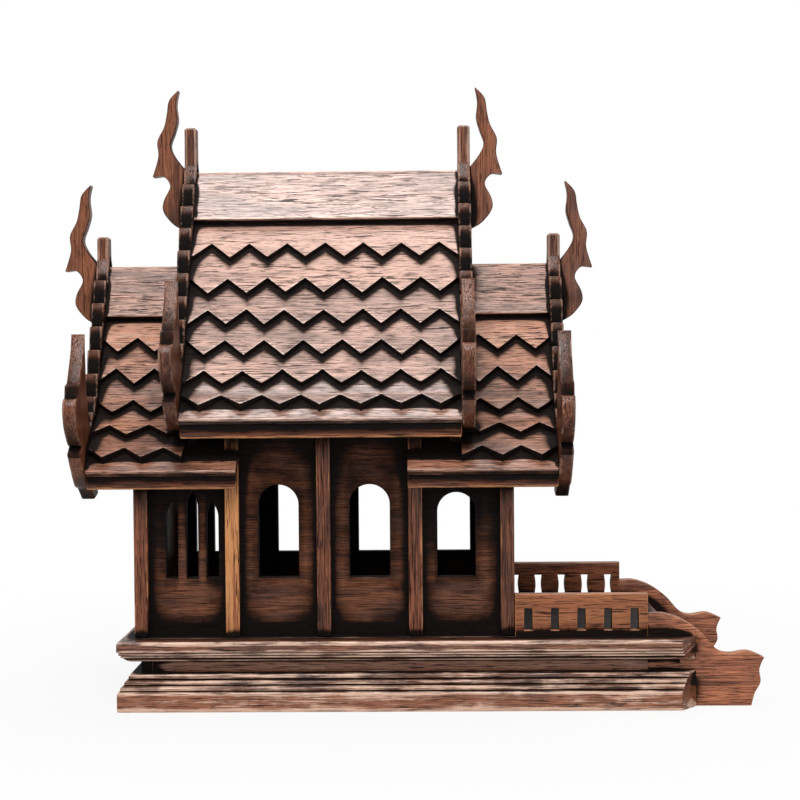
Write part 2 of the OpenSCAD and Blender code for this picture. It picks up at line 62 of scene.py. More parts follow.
# %% [markdown]
# ## The photograph's view
#
# The camera stands about a metre in front of the long side, towards the porch, a little above the windows. Its lens
# and turn were found by matching corners of the house, so the far rail and the far windows show through as they
# should. The camera could be aimed with a constraint, but three plain angles are easier to read.

# %% Camera
LENS_MM, SENSOR_MM = 71.1, 36.0
CAMERA_AT_MM = (67.5, -1087.0, 228.3)
PITCH_DOWN, YAW_LEFT, ROLL = math.radians(1.75), math.radians(1.0), math.radians(-0.46)

aim = Vector((-math.sin(YAW_LEFT), math.cos(YAW_LEFT), 0)) * math.cos(PITCH_DOWN)
aim.z = -math.sin(PITCH_DOWN)
level = Vector((math.cos(YAW_LEFT), math.sin(YAW_LEFT), 0))
rise = level.cross(aim)
across = level * math.cos(ROLL) + rise * math.sin(ROLL)
upward = rise * math.cos(ROLL) - level * math.sin(ROLL)

camera_data = bpy.data.cameras.new("photo_view")
camera_data.lens, camera_data.sensor_width = LENS_MM, SENSOR_MM
camera = bpy.data.objects.new("photo_view", camera_data)
bpy.context.collection.objects.link(camera)
turn = Matrix((across, upward, -aim)).transposed().to_4x4()
place = Vector((CAMERA_AT_MM[0] + HALL_X, CAMERA_AT_MM[1], CAMERA_AT_MM[2])) * MM
camera.matrix_world = Matrix.Translation(place) @ turn
bpy.context.scene.camera = camera
print("camera at", [round(v, 4) for v in camera.location])

# %% [markdown]
# ## Shader sockets that work like numbers
#
# A finish is a sum of many small things, such as bands, fibres and wear. Wiring each sum by hand in the node editor
# would hide it. One small class lets a socket be added and multiplied in plain Python and adds the nodes itself.

# %% Shader sockets as numbers
class Wire:
    """A shader socket that can be added, multiplied and mixed like a number."""

    def __init__(self, tree, socket):
        self.tree, self.socket = tree, socket

    @classmethod
    def node(cls, tree, kind, inputs=None, output=0, **settings):
        """A new node with its settings, and its sockets set to values or linked to other wires."""
        node = tree.nodes.new(f"ShaderNode{kind}")
        for key, value in settings.items():
            setattr(node, key, value)
        for key, value in (inputs or {}).items():
            if isinstance(value, Wire):
                tree.links.new(value.socket, node.inputs[key])
            else:
                node.inputs[key].default_value = value
        return cls(tree, node.outputs[output])

    def math(self, operation, *values):
        """The result of one Math node on these values."""
        return self.node(self.tree, "Math", dict(enumerate(values)), operation=operation)

    def __add__(self, other):
        return self.math("ADD", self, other)

    def __sub__(self, other):
        return self.math("SUBTRACT", self, other)

    def __rsub__(self, other):
        return self.math("SUBTRACT", other, self)

    def __mul__(self, other):
        return self.math("MULTIPLY", self, other)

    __radd__, __rmul__ = __add__, __mul__

    def ramp(self, low, high, bottom=0.0, top=1.0):
        """A smooth step from bottom to top while the socket goes from low to high."""
        return self.node(self.tree, "MapRange", {"Value": self, "From Min": low, "From Max": high, "To Min": bottom,
                                                 "To Max": top}, interpolation_type="SMOOTHSTEP")

    def noise(self, scale, detail=2.0, roughness=0.55):
        """Noise on this vector, stretched by three scales."""
        scaled = self.node(self.tree, "VectorMath", {0: self, 1: scale}, operation="MULTIPLY")
        return self.node(self.tree, "TexNoise", {"Vector": scaled, "Scale": 1.0, "Detail": detail,
                                                 "Roughness": roughness})

    def mix(self, first, second):
        """A colour between two others, by this factor."""
        return self.node(self.tree, "Mix", {0: self, 6: first, 7: second}, output=2, data_type="RGBA")


print("sockets take +, - and * now")

# %% [markdown]
# ## Soft studio light on a white floor
#
# The house was photographed on white under large soft lamps: here one above the front, one overhead and a low fill.
# The floor and the sky are white only where the camera or a reflection looks at them, so the background is clean
# while the wood is lit at a plain level. A shadow catcher would also give a clean background, but a real floor keeps
# its shadow in any renderer.

# %% White sky and floor
scene = bpy.context.scene
scene.view_settings.view_transform = "Standard"
WHITE, COOL_WHITE, GREY = (1, 1, 1, 1), (0.93, 0.96, 1.0, 1), (0.7, 0.7, 0.7, 1)
SKY_STRENGTH, FLOOR_HALF = 0.08, 12.0
FADE_FROM, FADE_TO, NEAR_WHITE = 0.15, 0.6, 0.88


def seen_directly(tree):
    """A wire that is one for camera, glossy and transmission rays."""
    camera_ray, glossy, through = (Wire.node(tree, "LightPath", output=f"Is {kind} Ray")
                                   for kind in ("Camera", "Glossy", "Transmission"))
    return camera_ray.math("MAXIMUM", camera_ray.math("MAXIMUM", camera_ray, glossy), through)


def white_sky(strength):
    """A dim sky that looks white."""
    scene.world = bpy.data.worlds.new("white_sky")
    scene.world.use_nodes = True
    tree = scene.world.node_tree
    tree.nodes.remove(tree.nodes["Background"])
    lit = Wire.node(tree, "Background", {"Color": COOL_WHITE, "Strength": strength})
    seen = Wire.node(tree, "Background", {"Color": WHITE, "Strength": 1.0})
    sky = Wire.node(tree, "MixShader", {0: seen_directly(tree), 1: lit, 2: seen})
    tree.links.new(sky.socket, tree.nodes["World Output"].inputs["Surface"])


def white_floor(half_size):
    """A grey floor that looks nearly white round the house, where shadows show, and white further off."""
    mesh = bpy.data.meshes.new("studio_floor")
    ring = np.array([[-1, -1, 0], [1, -1, 0], [1, 1, 0], [-1, 1, 0]]) * half_size
    mesh.from_pydata(ring.tolist(), [], [(0, 1, 2, 3)])
    floor = bpy.data.objects.new("studio_floor", mesh)
    bpy.context.collection.objects.link(floor)
    material = bpy.data.materials.new("studio_white")
    material.use_nodes = True
    tree = material.node_tree
    paint = tree.nodes["Principled BSDF"]
    for socket, value in (("Base Color", GREY), ("Roughness", 0.9), ("Specular IOR Level", 0.0)):
        paint.inputs[socket].default_value = value
    spot = Wire.node(tree, "TexCoord", output="Object")
    away = Wire.node(tree, "VectorMath", {0: spot}, output="Value", operation="LENGTH")
    share = seen_directly(tree) * away.ramp(FADE_FROM, FADE_TO, NEAR_WHITE, 1.0)
    glow = Wire.node(tree, "Emission", {"Color": WHITE, "Strength": 1.0})
    skin = Wire.node(tree, "MixShader", {0: share, 1: Wire(tree, paint.outputs[0]), 2: glow})
    tree.links.new(skin.socket, tree.nodes["Material Output"].inputs["Surface"])
    mesh.materials.append(material)


white_sky(SKY_STRENGTH)
white_floor(FLOOR_HALF)
print("stage: white floor and white sky")

# %% Lamps
def soft_lamp(name, at, look, size, watts):
    """A square area lamp at one point, in metres, that faces another."""
    data = bpy.data.lights.new(name, "AREA")
    data.shape, data.size, data.energy = "SQUARE", size, watts
    lamp = bpy.data.objects.new(name, data)
    lamp.location = at
    lamp.rotation_euler = (Vector(look) - Vector(at)).to_track_quat("-Z", "Y").to_euler()
    bpy.context.collection.objects.link(lamp)


soft_lamp("top_softbox", (-0.2, -1.3, 1.75), look=(0, 0, 0.25), size=1.3, watts=40)
soft_lamp("overhead", (0.1, 0.4, 1.9), look=(0, 0, 0.2), size=1.2, watts=19)
soft_lamp("front_fill", (0.9, -2.2, 0.7), look=(0, 0, 0.2), size=1.2, watts=9.5)
print("lamps:", ", ".join(light.name for light in bpy.data.lights))

# %% [markdown]
# ## The roof as a curve
#
# Every roof piece is easier to describe on the slope than in space: s runs down the slope from the ridge and d
# stands out of the deck. One small class turns (s, d) into width and height for a steep slope, a bend and a
# flared eave. A curve object could do the same, but a formula works on whole arrays at once.

# %% Roof curve
class Roof:
    """A concave slope: a steep line, an arc of radius KNEE_R and a flatter line out to the eave."""

    KNEE_R, EAVE_STRIP = 50.0, 6.5

    def __init__(self, apex, pitch, flare, eave_y, eave_z, rows, first, spread, spire):
        self.apex, self.eave_y, self.eave_z = apex, eave_y, eave_z
        self.pitch, self.flare = math.radians(pitch), math.radians(flare)
        self.rows, self.first, self.spread, self.spire = rows, first, spread, spire
        knee_y = (apex - eave_z - eave_y * math.tan(self.flare)) / (math.tan(self.pitch) - math.tan(self.flare))
        self.knee = np.array([knee_y, apex - knee_y * math.tan(self.pitch)])
        self.tangent = self.KNEE_R * math.tan((self.pitch - self.flare) / 2)
        self.bend0 = math.hypot(knee_y, apex - self.knee[1]) - self.tangent
        self.bend1 = self.bend0 + self.KNEE_R * (self.pitch - self.flare)
        self.length = self.bend1 + math.hypot(eave_y - knee_y, self.knee[1] - eave_z) - self.tangent

    def angle(self, s):
        """Steepness at s: it falls evenly from the pitch to the flare along the bend."""
        return np.clip(self.pitch - (np.asarray(s, float) - self.bend0) / self.KNEE_R, self.flare, self.pitch)

    def point(self, s, d=0.0):
        """Width and height at s down the slope and d out of it."""
        s = np.asarray(s, float)
        a = self.angle(s)
        start = self.knee - self.tangent * np.array([math.cos(self.pitch), -math.sin(self.pitch)])
        steep = np.minimum(s, self.bend0) - self.bend0
        flat = np.maximum(s, self.bend1) - self.bend1
        y = start[0] + steep * math.cos(self.pitch) + self.KNEE_R * (math.sin(self.pitch) - np.sin(a))
        z = start[1] - steep * math.sin(self.pitch) + self.KNEE_R * (math.cos(self.pitch) - np.cos(a))
        y = y + flat * math.cos(self.flare) + d * np.sin(a)
        z = z - flat * math.sin(self.flare) + d * np.cos(a)
        return y, z

    def height(self, y, d=0.0):
        """Height of the layer d out of the deck over a distance y from the ridge plane."""
        s = np.linspace(-40, self.length + 30, 800)
        ys, zs = self.point(s, d)
        return np.interp(np.abs(y), ys, zs)

    def row_tip(self, k):
        """How far down the slope the tips of row k reach; a spread under one sets the upper rows wider apart."""
        last = self.length - self.EAVE_STRIP
        return self.first + (last - self.first) * (k / (self.rows - 1)) ** self.spread


MAIN = Roof(apex=346, pitch=61.5, flare=38, eave_y=98.5, eave_z=187, rows=6, first=65, spread=0.9, spire=36.5)
LOWER = Roof(apex=282, pitch=63.5, flare=36.5, eave_y=92, eave_z=154, rows=5, first=61.5, spread=0.98, spire=26.5)
DECK_T, COURSE_T, CAP_T, CAP_LEN = 5.0, 6.5, 6.0, 34.5
ZIGZAG_W, ZIGZAG_DEEP = 25.4, 12.0
MAIN_END, LOWER_END, BARGE_T = 89.0, 150.0, 8.6
print("slopes", round(MAIN.length, 1), round(LOWER.length, 1), "mm long")

# %% [markdown]
# ## Boards as carried profiles
#
# A board is a closed outline carried along a path. Its corners are rounded a little, and the rounding is remembered
# in an edge value, plus one on a proud corner and minus one in a groove, because a proud corner was rubbed pale and
# a groove keeps its stain and gets painted shade. Bevel modifiers could round the corners too, but would lose
# that record.

# %% Boards and softened outlines
SHARP_TURN = 0.09


class Shell:
    """Points, faces and stored values of one closed board: edge wear, painted shade with staining, and tone."""

    def __init__(self, points, quads, caps, edge, grain):
        self.points, self.quads, self.caps = points, quads, caps
        self.edge, self.grain = edge, grain
        # Darkening stored per point: painted shade with staining above zero, painted light below zero.
        self.shade_and_stain = np.zeros(len(points))
        self.tone = 0.0


def soften(outline, radius, step):
    """Round each corner of a closed outline with a short arc, and put points along its sides at every step."""
    outline = np.asarray(outline, float)
    before, after = np.roll(outline, 1, 0) - outline, np.roll(outline, -1, 0) - outline
    size_b, size_a = np.hypot(*before.T), np.hypot(*after.T)
    turn = before[:, 0] * after[:, 1] - before[:, 1] * after[:, 0]
    area = np.sum(outline[:, 0] * np.roll(outline[:, 1], -1) - np.roll(outline[:, 0], -1) * outline[:, 1])
    proud = -np.sign(turn) * np.sign(area)
    sharp = np.abs(turn) / (size_a * size_b) > SHARP_TURN
    cut = np.where(sharp, np.minimum(radius, 0.42 * np.minimum(size_a, size_b)), 0)
    enter = outline + before / size_b[:, None] * cut[:, None]
    leave = outline + after / size_a[:, None] * cut[:, None]
    points, edges = [], []
    for i in range(len(outline)):
        j = (i + 1) % len(outline)
        t = np.array([0, 0.5, 1.0])[:, None] if sharp[i] else np.array([[0.5]])
        points.append((1 - t) ** 2 * enter[i] + 2 * t * (1 - t) * outline[i] + t ** 2 * leave[i])
        edges.append(np.where(sharp[i], proud[i], 0) * np.ones(len(t)))
        count = int(np.hypot(*(enter[j] - leave[i])) / step)
        t = (np.arange(1, count + 1) / (count + 1))[:, None]
        points.append(leave[i] + (enter[j] - leave[i]) * t)
        edges.append(np.zeros(count))
    return np.concatenate(points), np.concatenate(edges)


square, _ = soften([[0, 0], [9, 0], [9, 9], [0, 9]], 0.7, 2.2)
print("a softened 9 mm square has", len(square), "points")

# %% Straight boards
def grid_quads(rows, cols, ring):
    """Corner numbers of the faces of a grid whose columns close into a loop, and its rows too if it is a ring."""
    index = np.arange(rows * cols).reshape(rows, cols)
    index = np.hstack([index, index[:, :1]])
    if ring:
        index = np.vstack([index, index[:1]])
    return np.stack([index[:-1, :-1], index[1:, :-1], index[1:, 1:], index[:-1, 1:]], -1).reshape(-1, 4)


def carry(sections, edge, grain, ring=False):
    """Join a stack of equal closed sections into a board, capped at both ends unless the stack is a ring."""
    rows, cols = sections.shape[:2]
    caps = [] if ring else [np.arange(cols), np.arange((rows - 1) * cols, rows * cols)]
    edge = np.broadcast_to(edge, (rows, cols)).ravel()
    return Shell(sections.reshape(-1, 3), grid_quads(rows, cols, ring), caps, edge, grain.reshape(-1, 3))


def stops(length, step):
    """How many points a length needs at about this step."""
    return max(2, int(length / step) + 1)


def bar(low, high, along, radius=0.7, step=2.2, long_step=2.6):
    """A straight board: a softened rectangle carried along one axis, drawn in over its last fraction."""
    low, high = np.minimum(low, high).astype(float), np.maximum(low, high).astype(float)
    a, b = [(1, 2), (0, 2), (0, 1)][along]
    size, middle = high - low, (low + high) / 2
    rect = np.array([[low[a], low[b]], [high[a], low[b]], [high[a], high[b]], [low[a], high[b]]])
    loop, edge = soften(rect, radius, step)
    radius = min(radius, size[a] / 3, size[b] / 3, size[along] / 4)
    inner = np.linspace(low[along] + radius, high[along] - radius, stops(size[along], long_step))
    arc = np.array([0, 0.5, 0.87])
    place = np.concatenate([low[along] + radius * arc, inner, high[along] - radius * arc[::-1]])
    inset = radius * np.array([1, 0.35, 0.13])
    inset = np.concatenate([inset, np.zeros(len(inner)), inset[::-1]])
    points = np.empty((len(place), len(loop), 3))
    points[..., along] = place[:, None]
    for axis, flat in ((a, 0), (b, 1)):
        points[..., axis] = middle[axis] + (loop[:, flat] - middle[axis]) * (1 - 2 * inset[:, None] / size[axis])
    worn = np.maximum(np.broadcast_to(edge, inset.shape + edge.shape), (inset > 0.2 * radius)[:, None] * 1.0)
    return carry(points, worn, points[..., [along, a, b]])


print("a 9 mm post has", len(bar((0, 0, 0), (9, 9, 90), 2).points), "points")

# %% [markdown]
# ## Sawn boards between two curves
#
# Finials, stair strings, gables and pierced panels are flat boards with a shaped outline. They could be filled curves
# with some thickness, but a filled curve gives long thin faces with no place to store wear. A ribbon matches two
# edges point by point instead, so its faces stay even.

# %% Ribbons and smooth lines
def ribbon(inner, outer, normal, thick, radius=0.7, step=2.0, back=5, grain=(0, 1, 2), ring=False, out_dir=None):
    """
    A flat board between two matched edge curves: at each station a rounded rectangle spans from the inner to the
    outer point, half the thickness to each side of them along the normal.
    """
    inner, outer, normal = np.asarray(inner, float), np.asarray(outer, float), np.asarray(normal, float)
    gap = outer - inner
    width = np.linalg.norm(gap, axis=1)
    unit = gap / np.maximum(width, 1e-6)[:, None]
    out_dir = unit if out_dir is None else out_dir
    r = np.minimum(radius, 0.3 * width)[:, None]
    half = thick / 2
    front = np.linspace(0, 1, max(3, int(np.percentile(width, 80) / step) + 1))
    arc = np.radians([25.0, 45.0, 65.0, 90.0])
    rows, edge = [], []

    def face(values, side):
        for f in values:
            rows.append((inner + r * unit) * (1 - f) + (outer - r * out_dir) * f + side * half * normal)
            edge.append(0 * width)

    def rim(line, way, sides):
        for side, angles in sides:
            for a in angles:
                rows.append(line - way * r * (1 - math.sin(a)) + side * normal * (half - r * (1 - math.cos(a))))
                edge.append((1.0 if a < 1.3 else 0.35) * np.linalg.norm(way, axis=1))

    face(front, 1)
    rim(outer, out_dir, ((1, arc), (-1, arc[::-1])))
    face(np.linspace(1, 0, back), -1)
    rim(inner, -unit, ((-1, arc), (1, arc[::-1])))
    points = np.stack(rows, axis=1)
    return carry(points, np.stack(edge, axis=1), points[..., list(grain)], ring)


def spline(points, steps=8):
    """Smooth curve through given points: each span is a cubic that leans on its neighbours."""
    p = np.asarray(points, float)
    a, b, c, d = np.vstack([p[:1], p[:-2]]), p[:-1], p[1:], np.vstack([p[2:], p[-1:]])
    t = (np.arange(steps) / steps)[None, :, None]
    a, b, c, d = (v[:, None, :] for v in (a, b, c, d))
    curve = 0.5 * (2 * b + (c - a) * t + (2 * a - 5 * b + 4 * c - d) * t ** 2 + (3 * b - a - 3 * c + d) * t ** 3)
    return np.vstack([curve.reshape(-1, p.shape[1]), p[-1:]])


def resample(line, count):
    """The same line with evenly spaced points."""
    line = np.asarray(line, float)
    reach = np.concatenate([[0], np.cumsum(np.linalg.norm(np.diff(line, axis=0), axis=1))])
    at = np.linspace(0, reach[-1], count)
    return np.stack([np.interp(at, reach, line[:, i]) for i in range(line.shape[1])], axis=1)


print("ribbons and smooth lines ready")

# %% [markdown]
# ## Roof boards and shingle courses
#
# A course is one board whose lower edge is cut in a zigzag. It starts flush with the deck and thickens down the
# slope, so each row of points stands over the next like shingles. One shingle could be copied with an array, but in
# the photograph the grain runs on through a whole row. So the section is worked out at every station along the ridge,
# and the zigzag only changes where that section stops. Tips and notches wander a little, as they do under a hand saw.

# %% Zigzag courses
RIM_R, SINK, LEAST_T = 0.55, 2.0, 0.05
TIP_WANDER, SIDE_WANDER = 0.7, 0.6


def wander(x, seed, reach=1.0):
    """A smooth deterministic wobble: three sines of unrelated lengths."""
    return reach * (np.sin(x * 0.071 + seed * 1.7) + 0.6 * np.sin(x * 0.173 + seed * 4.1)
                    + 0.4 * np.sin(x * 0.41 + seed * 2.3)) / 2


def on_roof(roof, x, s, d):
    """House coordinates of a point on the back slope."""
    y, z = roof.point(s, d)
    return np.stack(np.broadcast_arrays(x, y, z), axis=-1)


def slope_board(roof, x, loop_s, loop_d, edge, shade_and_stain):
    """A board on the slope: loops of (s, d), one per station x, carried along the ridge."""
    x = np.asarray(x, float)[:, None]
    loop_s, loop_d = np.broadcast_to(loop_s, (len(x), len(edge))), np.broadcast_to(loop_d, (len(x), len(edge)))
    grain = np.stack([np.broadcast_to(x, loop_s.shape), loop_s, loop_d], axis=-1)
    shell = carry(on_roof(roof, x, loop_s, loop_d), edge, grain)
    shell.shade_and_stain = np.broadcast_to(shade_and_stain, loop_s.shape).ravel()
    return shell


def tip_line(roof, k, x, outer_x):
    """Where the lower edge of row k lies at each x: a zigzag between its tips and notches."""
    phase = np.abs(x - outer_x) / (ZIGZAG_W / 2) + k
    saw = np.abs((phase + 1) % 2 - 1)
    return roof.row_tip(k) - ZIGZAG_DEEP * saw


def course(roof, k, x0, x1, outer_x):
    """Row k of the shingles between x0 and x1, with its zigzag counted from outer_x."""
    tip = roof.row_tip(k)
    start = CAP_LEN if k == 0 else roof.row_tip(k - 1) - ZIGZAG_DEEP
    way = 1 if outer_x <= x0 else -1
    halves = math.ceil(2 * abs(x1 - x0) / ZIGZAG_W)
    corner_x = outer_x + way * np.arange(halves + 1) * ZIGZAG_W / 2
    corner_s = tip - np.where((np.arange(halves + 1) + k) % 2 == 0, 0.0, ZIGZAG_DEEP)
    corner_s = corner_s + wander(corner_x, k + 3.0, TIP_WANDER) - 0.4
    corner_x = corner_x + way * np.where(np.arange(halves + 1) > 0, wander(corner_x, k * 2.0, SIDE_WANDER), 0)
    x = np.unique(np.clip(np.concatenate([corner_x, np.linspace(x0, x1, stops(x1 - x0, 1.6))]), x0, x1))
    x = x[np.concatenate([[True], np.diff(x) > 0.25])]
    order = np.argsort(corner_x)
    stop = np.interp(x, corner_x[order], corner_s[order])[:, None]
    top = np.linspace(0, 1, stops(tip - start, 1.9))
    s_top = start + (stop - RIM_R - start) * top
    rise = COURSE_T / (tip - start)
    d_top = np.maximum((s_top - start) * rise, LEAST_T)
    d_edge = (stop - start) * rise
    s_rim = np.hstack([stop - 0.25 * RIM_R, stop, stop, stop, stop])
    d_rim = np.hstack([d_edge - 0.2 * RIM_R, d_edge - RIM_R, 0.5 * d_edge, 0 * stop, 0 * stop - SINK])
    s_low = np.hstack([0.5 * (start + stop), 0 * stop + start])
    loop_s = np.hstack([s_top, s_rim, s_low])
    loop_d = np.hstack([d_top, d_rim, 0 * s_low - SINK])
    # Wear sits on the lower rim only. Painted shade with stain darkens each course under the tips of the row above and
    # out of sight below the rim; the first course is dark just under the cap and painted lighter further down.
    edge = np.concatenate([np.zeros(len(top) - 1), [0.3, 0.8, 0.2, -1, -1, -1, -1, -1]])
    if k:
        above = tip_line(roof, k - 1, x, outer_x)[:, None]
        shade = np.exp(-np.maximum(s_top - above - 3.0, 0) / 3.2)
    else:
        shade = 1.5 * np.exp(-np.maximum(s_top - CAP_LEN - 0.6, 0) / 1.8) - 0.5
    shade_and_stain = np.hstack([shade, np.full((len(x), 7), [0.1, 0.85, 1.0, 1.0, 1.0, 1.0, 1.0])])
    return slope_board(roof, x, loop_s, loop_d, edge, shade_and_stain)


print("tips of the main roof at", [round(float(MAIN.row_tip(k)), 1) for k in range(MAIN.rows)], "mm down the slope")

# %% [markdown]
# ## Deck, ridge cap and the three roofs
#
# Under the courses lies a plain deck whose edge shows at the eave, and a cap of two boards covers the ridge. All the
# boards of one slope become one piece. Mirror modifiers could make the other slopes, but turning the points round
# keeps each grain its own, so no two slopes look alike.

# %% Deck and ridge cap
SIDES, ENDS = ((1, "back"), (-1, "front")), ((1, "porch"), (-1, "rear"))
LOWER_START, LOWER_IN, CAP_TOP, POST_FACE = 54.5, 63.5, 6.0, 76.0


def deck(roof, x0, x1, s0=0.0):
    """The boards under the courses, with a softened eave."""
    near = roof.length - 16  # finer points from here to the eave, where the bare strip shows
    s_top = np.concatenate([np.linspace(s0, near, stops(near - s0, 7)), np.linspace(near + 1.6, roof.length - 0.9, 9)])
    s_low = np.linspace(roof.length - 0.9, max(s0, DECK_T * math.tan(roof.pitch) if s0 == 0 else s0), 14)
    loop_s = np.concatenate([s_top, roof.length - np.array([0.25, 0, 0, 0, 0.25]), s_low])
    loop_d = np.concatenate([0 * s_top, -np.array([0.25, 0.9, 2.5, 4.1, 4.75]), 0 * s_low - DECK_T])
    edge = np.concatenate([0 * s_top, [1, 0.8, 0, 0.5, 0.6], 0 * s_low])
    last = roof.row_tip(roof.rows - 1)
    # Painted shade under the tips of the last row, painted light on the bare eave strip beyond them, and painted shade
    # down the edge face and under the deck.
    shade_and_stain = np.concatenate([2.2 * np.exp(-np.maximum(s_top - last + 3.2, 0) / 1.5) - 1.2, [-0.6, 0.1, 0.7, 0.75, 0.8],
                           0.8 + 0 * s_low])
    return slope_board(roof, np.linspace(x0, x1, stops(x1 - x0, 2.6)), loop_s, loop_d, edge, shade_and_stain)


def slope_shells(roof, x0, x1, shingle_x0, shingle_x1, outer_x):
    """The deck of one slope and all its courses, each course a little different in tone and the first the palest."""
    shells = [deck(roof, x0, x1)]
    for k in range(roof.rows):
        shells.append(course(roof, k, shingle_x0, shingle_x1, outer_x))
        # Each course differs a little in tone, and the first courses are painted lighter under the cap, a painted
        # light.
        shells[-1].tone = 0.3 * math.sin(k * 2.4 + x0) + 1.4 * 0.4 ** k
    return shells


def ridge_cap(roof, x0, x1):
    """Two boards that meet over the ridge with a flat top: one outline in Y and Z, carried along X."""
    crest = -CAP_T * math.tan(roof.pitch)
    level = roof.apex + CAP_TOP
    s = np.linspace(crest, CAP_LEN, 40)
    y, z = roof.point(s, CAP_T)
    flat_y = np.interp(-level, -z, y)
    low_in, low_out = np.array(roof.point(CAP_LEN, -1.0)), np.array(roof.point(CAP_LEN, CAP_T))
    half = np.array([[flat_y, level], low_out, low_in])
    mirrored = half[::-1] * [-1, 1]
    outline = np.vstack([half, [[0, roof.apex - 3.0]], mirrored])
    loop, edge = soften(outline, 0.8, 2.2)
    x = np.linspace(x0, x1, stops(x1 - x0, 2.4))
    points = np.empty((len(x), len(loop), 3))
    points[..., 0], points[..., 1:] = x[:, None], loop
    grain = np.stack([points[..., 0], roof.apex - points[..., 2] + 7 * np.sign(points[..., 1]), points[..., 1]], -1)
    return carry(points, edge, grain)


def flipped(shells, axis):
    """The same boards on the other side of the house, with the grain moved on so that it differs."""
    for shell in shells:
        shell.points[:, axis] *= -1
        shell.grain = shell.grain + 37.0 * (axis + 1)
    return shells


def placed(shells, side=1, end=1):
    """Boards as they were made, or turned to the front side or the rear end of the house."""
    shells = flipped(shells, 0) if end < 0 else shells
    return flipped(shells, 1) if side < 0 else shells


print("cap and deck ready for slopes of", round(MAIN.length, 1), "and", round(LOWER.length, 1), "mm")

# %% Lay the three roofs
PIECES = {}
for side, where in SIDES:
    shells = slope_shells(MAIN, -MAIN_END, MAIN_END, -MAIN_END, MAIN_END, -MAIN_END)
    PIECES[f"main_roof_{where}"] = placed(shells, side)
PIECES["main_ridge_cap"] = [ridge_cap(MAIN, -MAIN_END, MAIN_END)]
slope = np.linspace(0, LOWER.length, 300)
past_post = np.interp(POST_FACE, LOWER.point(slope)[0], slope)
for end, name in ENDS:
    for side, where in SIDES:
        shells = slope_shells(LOWER, LOWER_IN, LOWER_END, MAIN_END, LOWER_END, MAIN_END)
        shells.append(deck(LOWER, LOWER_START, LOWER_IN + 0.5, past_post))
        PIECES[f"{name}_roof_{where}"] = placed(shells, side, end)
    PIECES[f"{name}_ridge_cap"] = placed([ridge_cap(LOWER, MAIN_END, LOWER_END)], end=end)
print("roof pieces:", len(PIECES), "with", sum(len(s.points) for v in PIECES.values() for s in v), "points")

# %% [markdown]
# ## Pierced panels
#
# A wall panel is a ring: rays from the middle of the window cross its edge and then the edge of the panel, and the
# board spans between the two crossings. Round heads, pointed lancets and the waisted slots of the rail all fit the
# same rule. Booleans would cut them as well, but leave faces too uneven to carry the finish.

# %% Window outlines
def round_arch(width, height):
    """A straight sill and sides under a half circle."""
    a = np.linspace(0, math.pi, 40)
    head = np.stack([np.cos(a) * width / 2, height - width / 2 + np.sin(a) * width / 2], axis=1)
    return np.vstack([[[-width / 2, 0], [width / 2, 0]], head])


def lancet(width, height):
    """A slot whose head is two arcs of twice its width."""
    reach = 2 * width
    a = np.linspace(0, math.acos(1 - width / 2 / reach), 14)
    side = np.stack([width / 2 - reach + reach * np.cos(a), height + reach * (np.sin(a) - math.sin(a[-1]))], axis=1)
    return np.vstack([[[-width / 2, 0], [width / 2, 0]], side, (side * [-1, 1])[::-1][1:]])


def waisted_slot(width, height):
    """A slot whose sides draw in at half height."""
    side = spline([[width / 2, 0], [0.36 * width, 0.5 * height], [width / 2, height]], 10)
    return np.vstack([side, (side * [-1, 1])[::-1]])


def plain_slot(width, height):
    """A sawn slot, a shade narrower at its head."""
    half = width / 2
    return np.array([[-half, 0], [half, 0], [half, 0.5 * height], [0.94 * half, 0.97 * height],
                     [-0.9 * half, height], [-half, 0.5 * height]])


print("a round arch has", len(round_arch(26, 60)), "points and a lancet", len(lancet(8, 56)))

# %% Pierced and smoked panels
WALL_T = 7.0


def pierced(low, high, hole, hole_at, y, thick, step=2.2, rims=(0, 0, 0, 0), radius=0.6):
    """
    A panel from low to high in X and Z with one hole. Points go round the border side by side, each is joined to
    the place where its ray from the middle of the hole crosses the hole's edge. Rims say which borders are rounded.
    """
    (x0, z0), (x1, z1) = low, high
    nx, nz = stops(x1 - x0, step) * 2, stops(z1 - z0, step)
    t, u = np.arange(nx) / nx, np.arange(nz) / nz
    border = np.vstack([np.stack([x0 + (x1 - x0) * t, 0 * t + z0], 1), np.stack([0 * u + x1, z0 + (z1 - z0) * u], 1),
                        np.stack([x1 - (x1 - x0) * t, 0 * t + z1], 1), np.stack([0 * u + x0, z1 - (z1 - z0) * u], 1)])
    bottom, right, top, left = (float(r) for r in rims)
    out_dir = np.zeros((len(border), 3))
    out_dir[:, 0] = right * (border[:, 0] > x1 - 1e-6) - left * (border[:, 0] < x0 + 1e-6)
    out_dir[:, 2] = top * (border[:, 1] > z1 - 1e-6) - bottom * (border[:, 1] < z0 + 1e-6)
    hole = np.asarray(hole) + hole_at
    middle = (hole.min(0) + hole.max(0)) / 2
    dense = resample(np.vstack([hole, hole[:1]]), 3000) - middle
    turn = np.arctan2(dense[:, 1], dense[:, 0])
    order = np.argsort(turn)
    ray = border - middle
    angle = np.arctan2(ray[:, 1], ray[:, 0])
    reach = np.interp(angle, turn[order], np.hypot(*dense[order].T), period=2 * math.pi)
    edge = middle + np.stack([np.cos(angle), np.sin(angle)], 1) * reach[:, None]
    corners = hole[np.argsort(hole[:, 1])[:2]]
    for corner in corners:
        edge[np.argmin(np.hypot(*(edge - corner).T))] = corner
    flat = [np.stack([p[:, 0], np.full(len(p), y), p[:, 1]], axis=1) for p in (edge, border)]
    shell = ribbon(flat[0], flat[1], (0, 1, 0), thick, radius, step, grain=[0, 2, 1], ring=True, out_dir=out_dir)
    count = len(shell.points) // len(edge)
    shell.from_hole = np.hypot(*(shell.points[:, [0, 2]] - np.repeat(edge, count, 0)).T)
    return shell


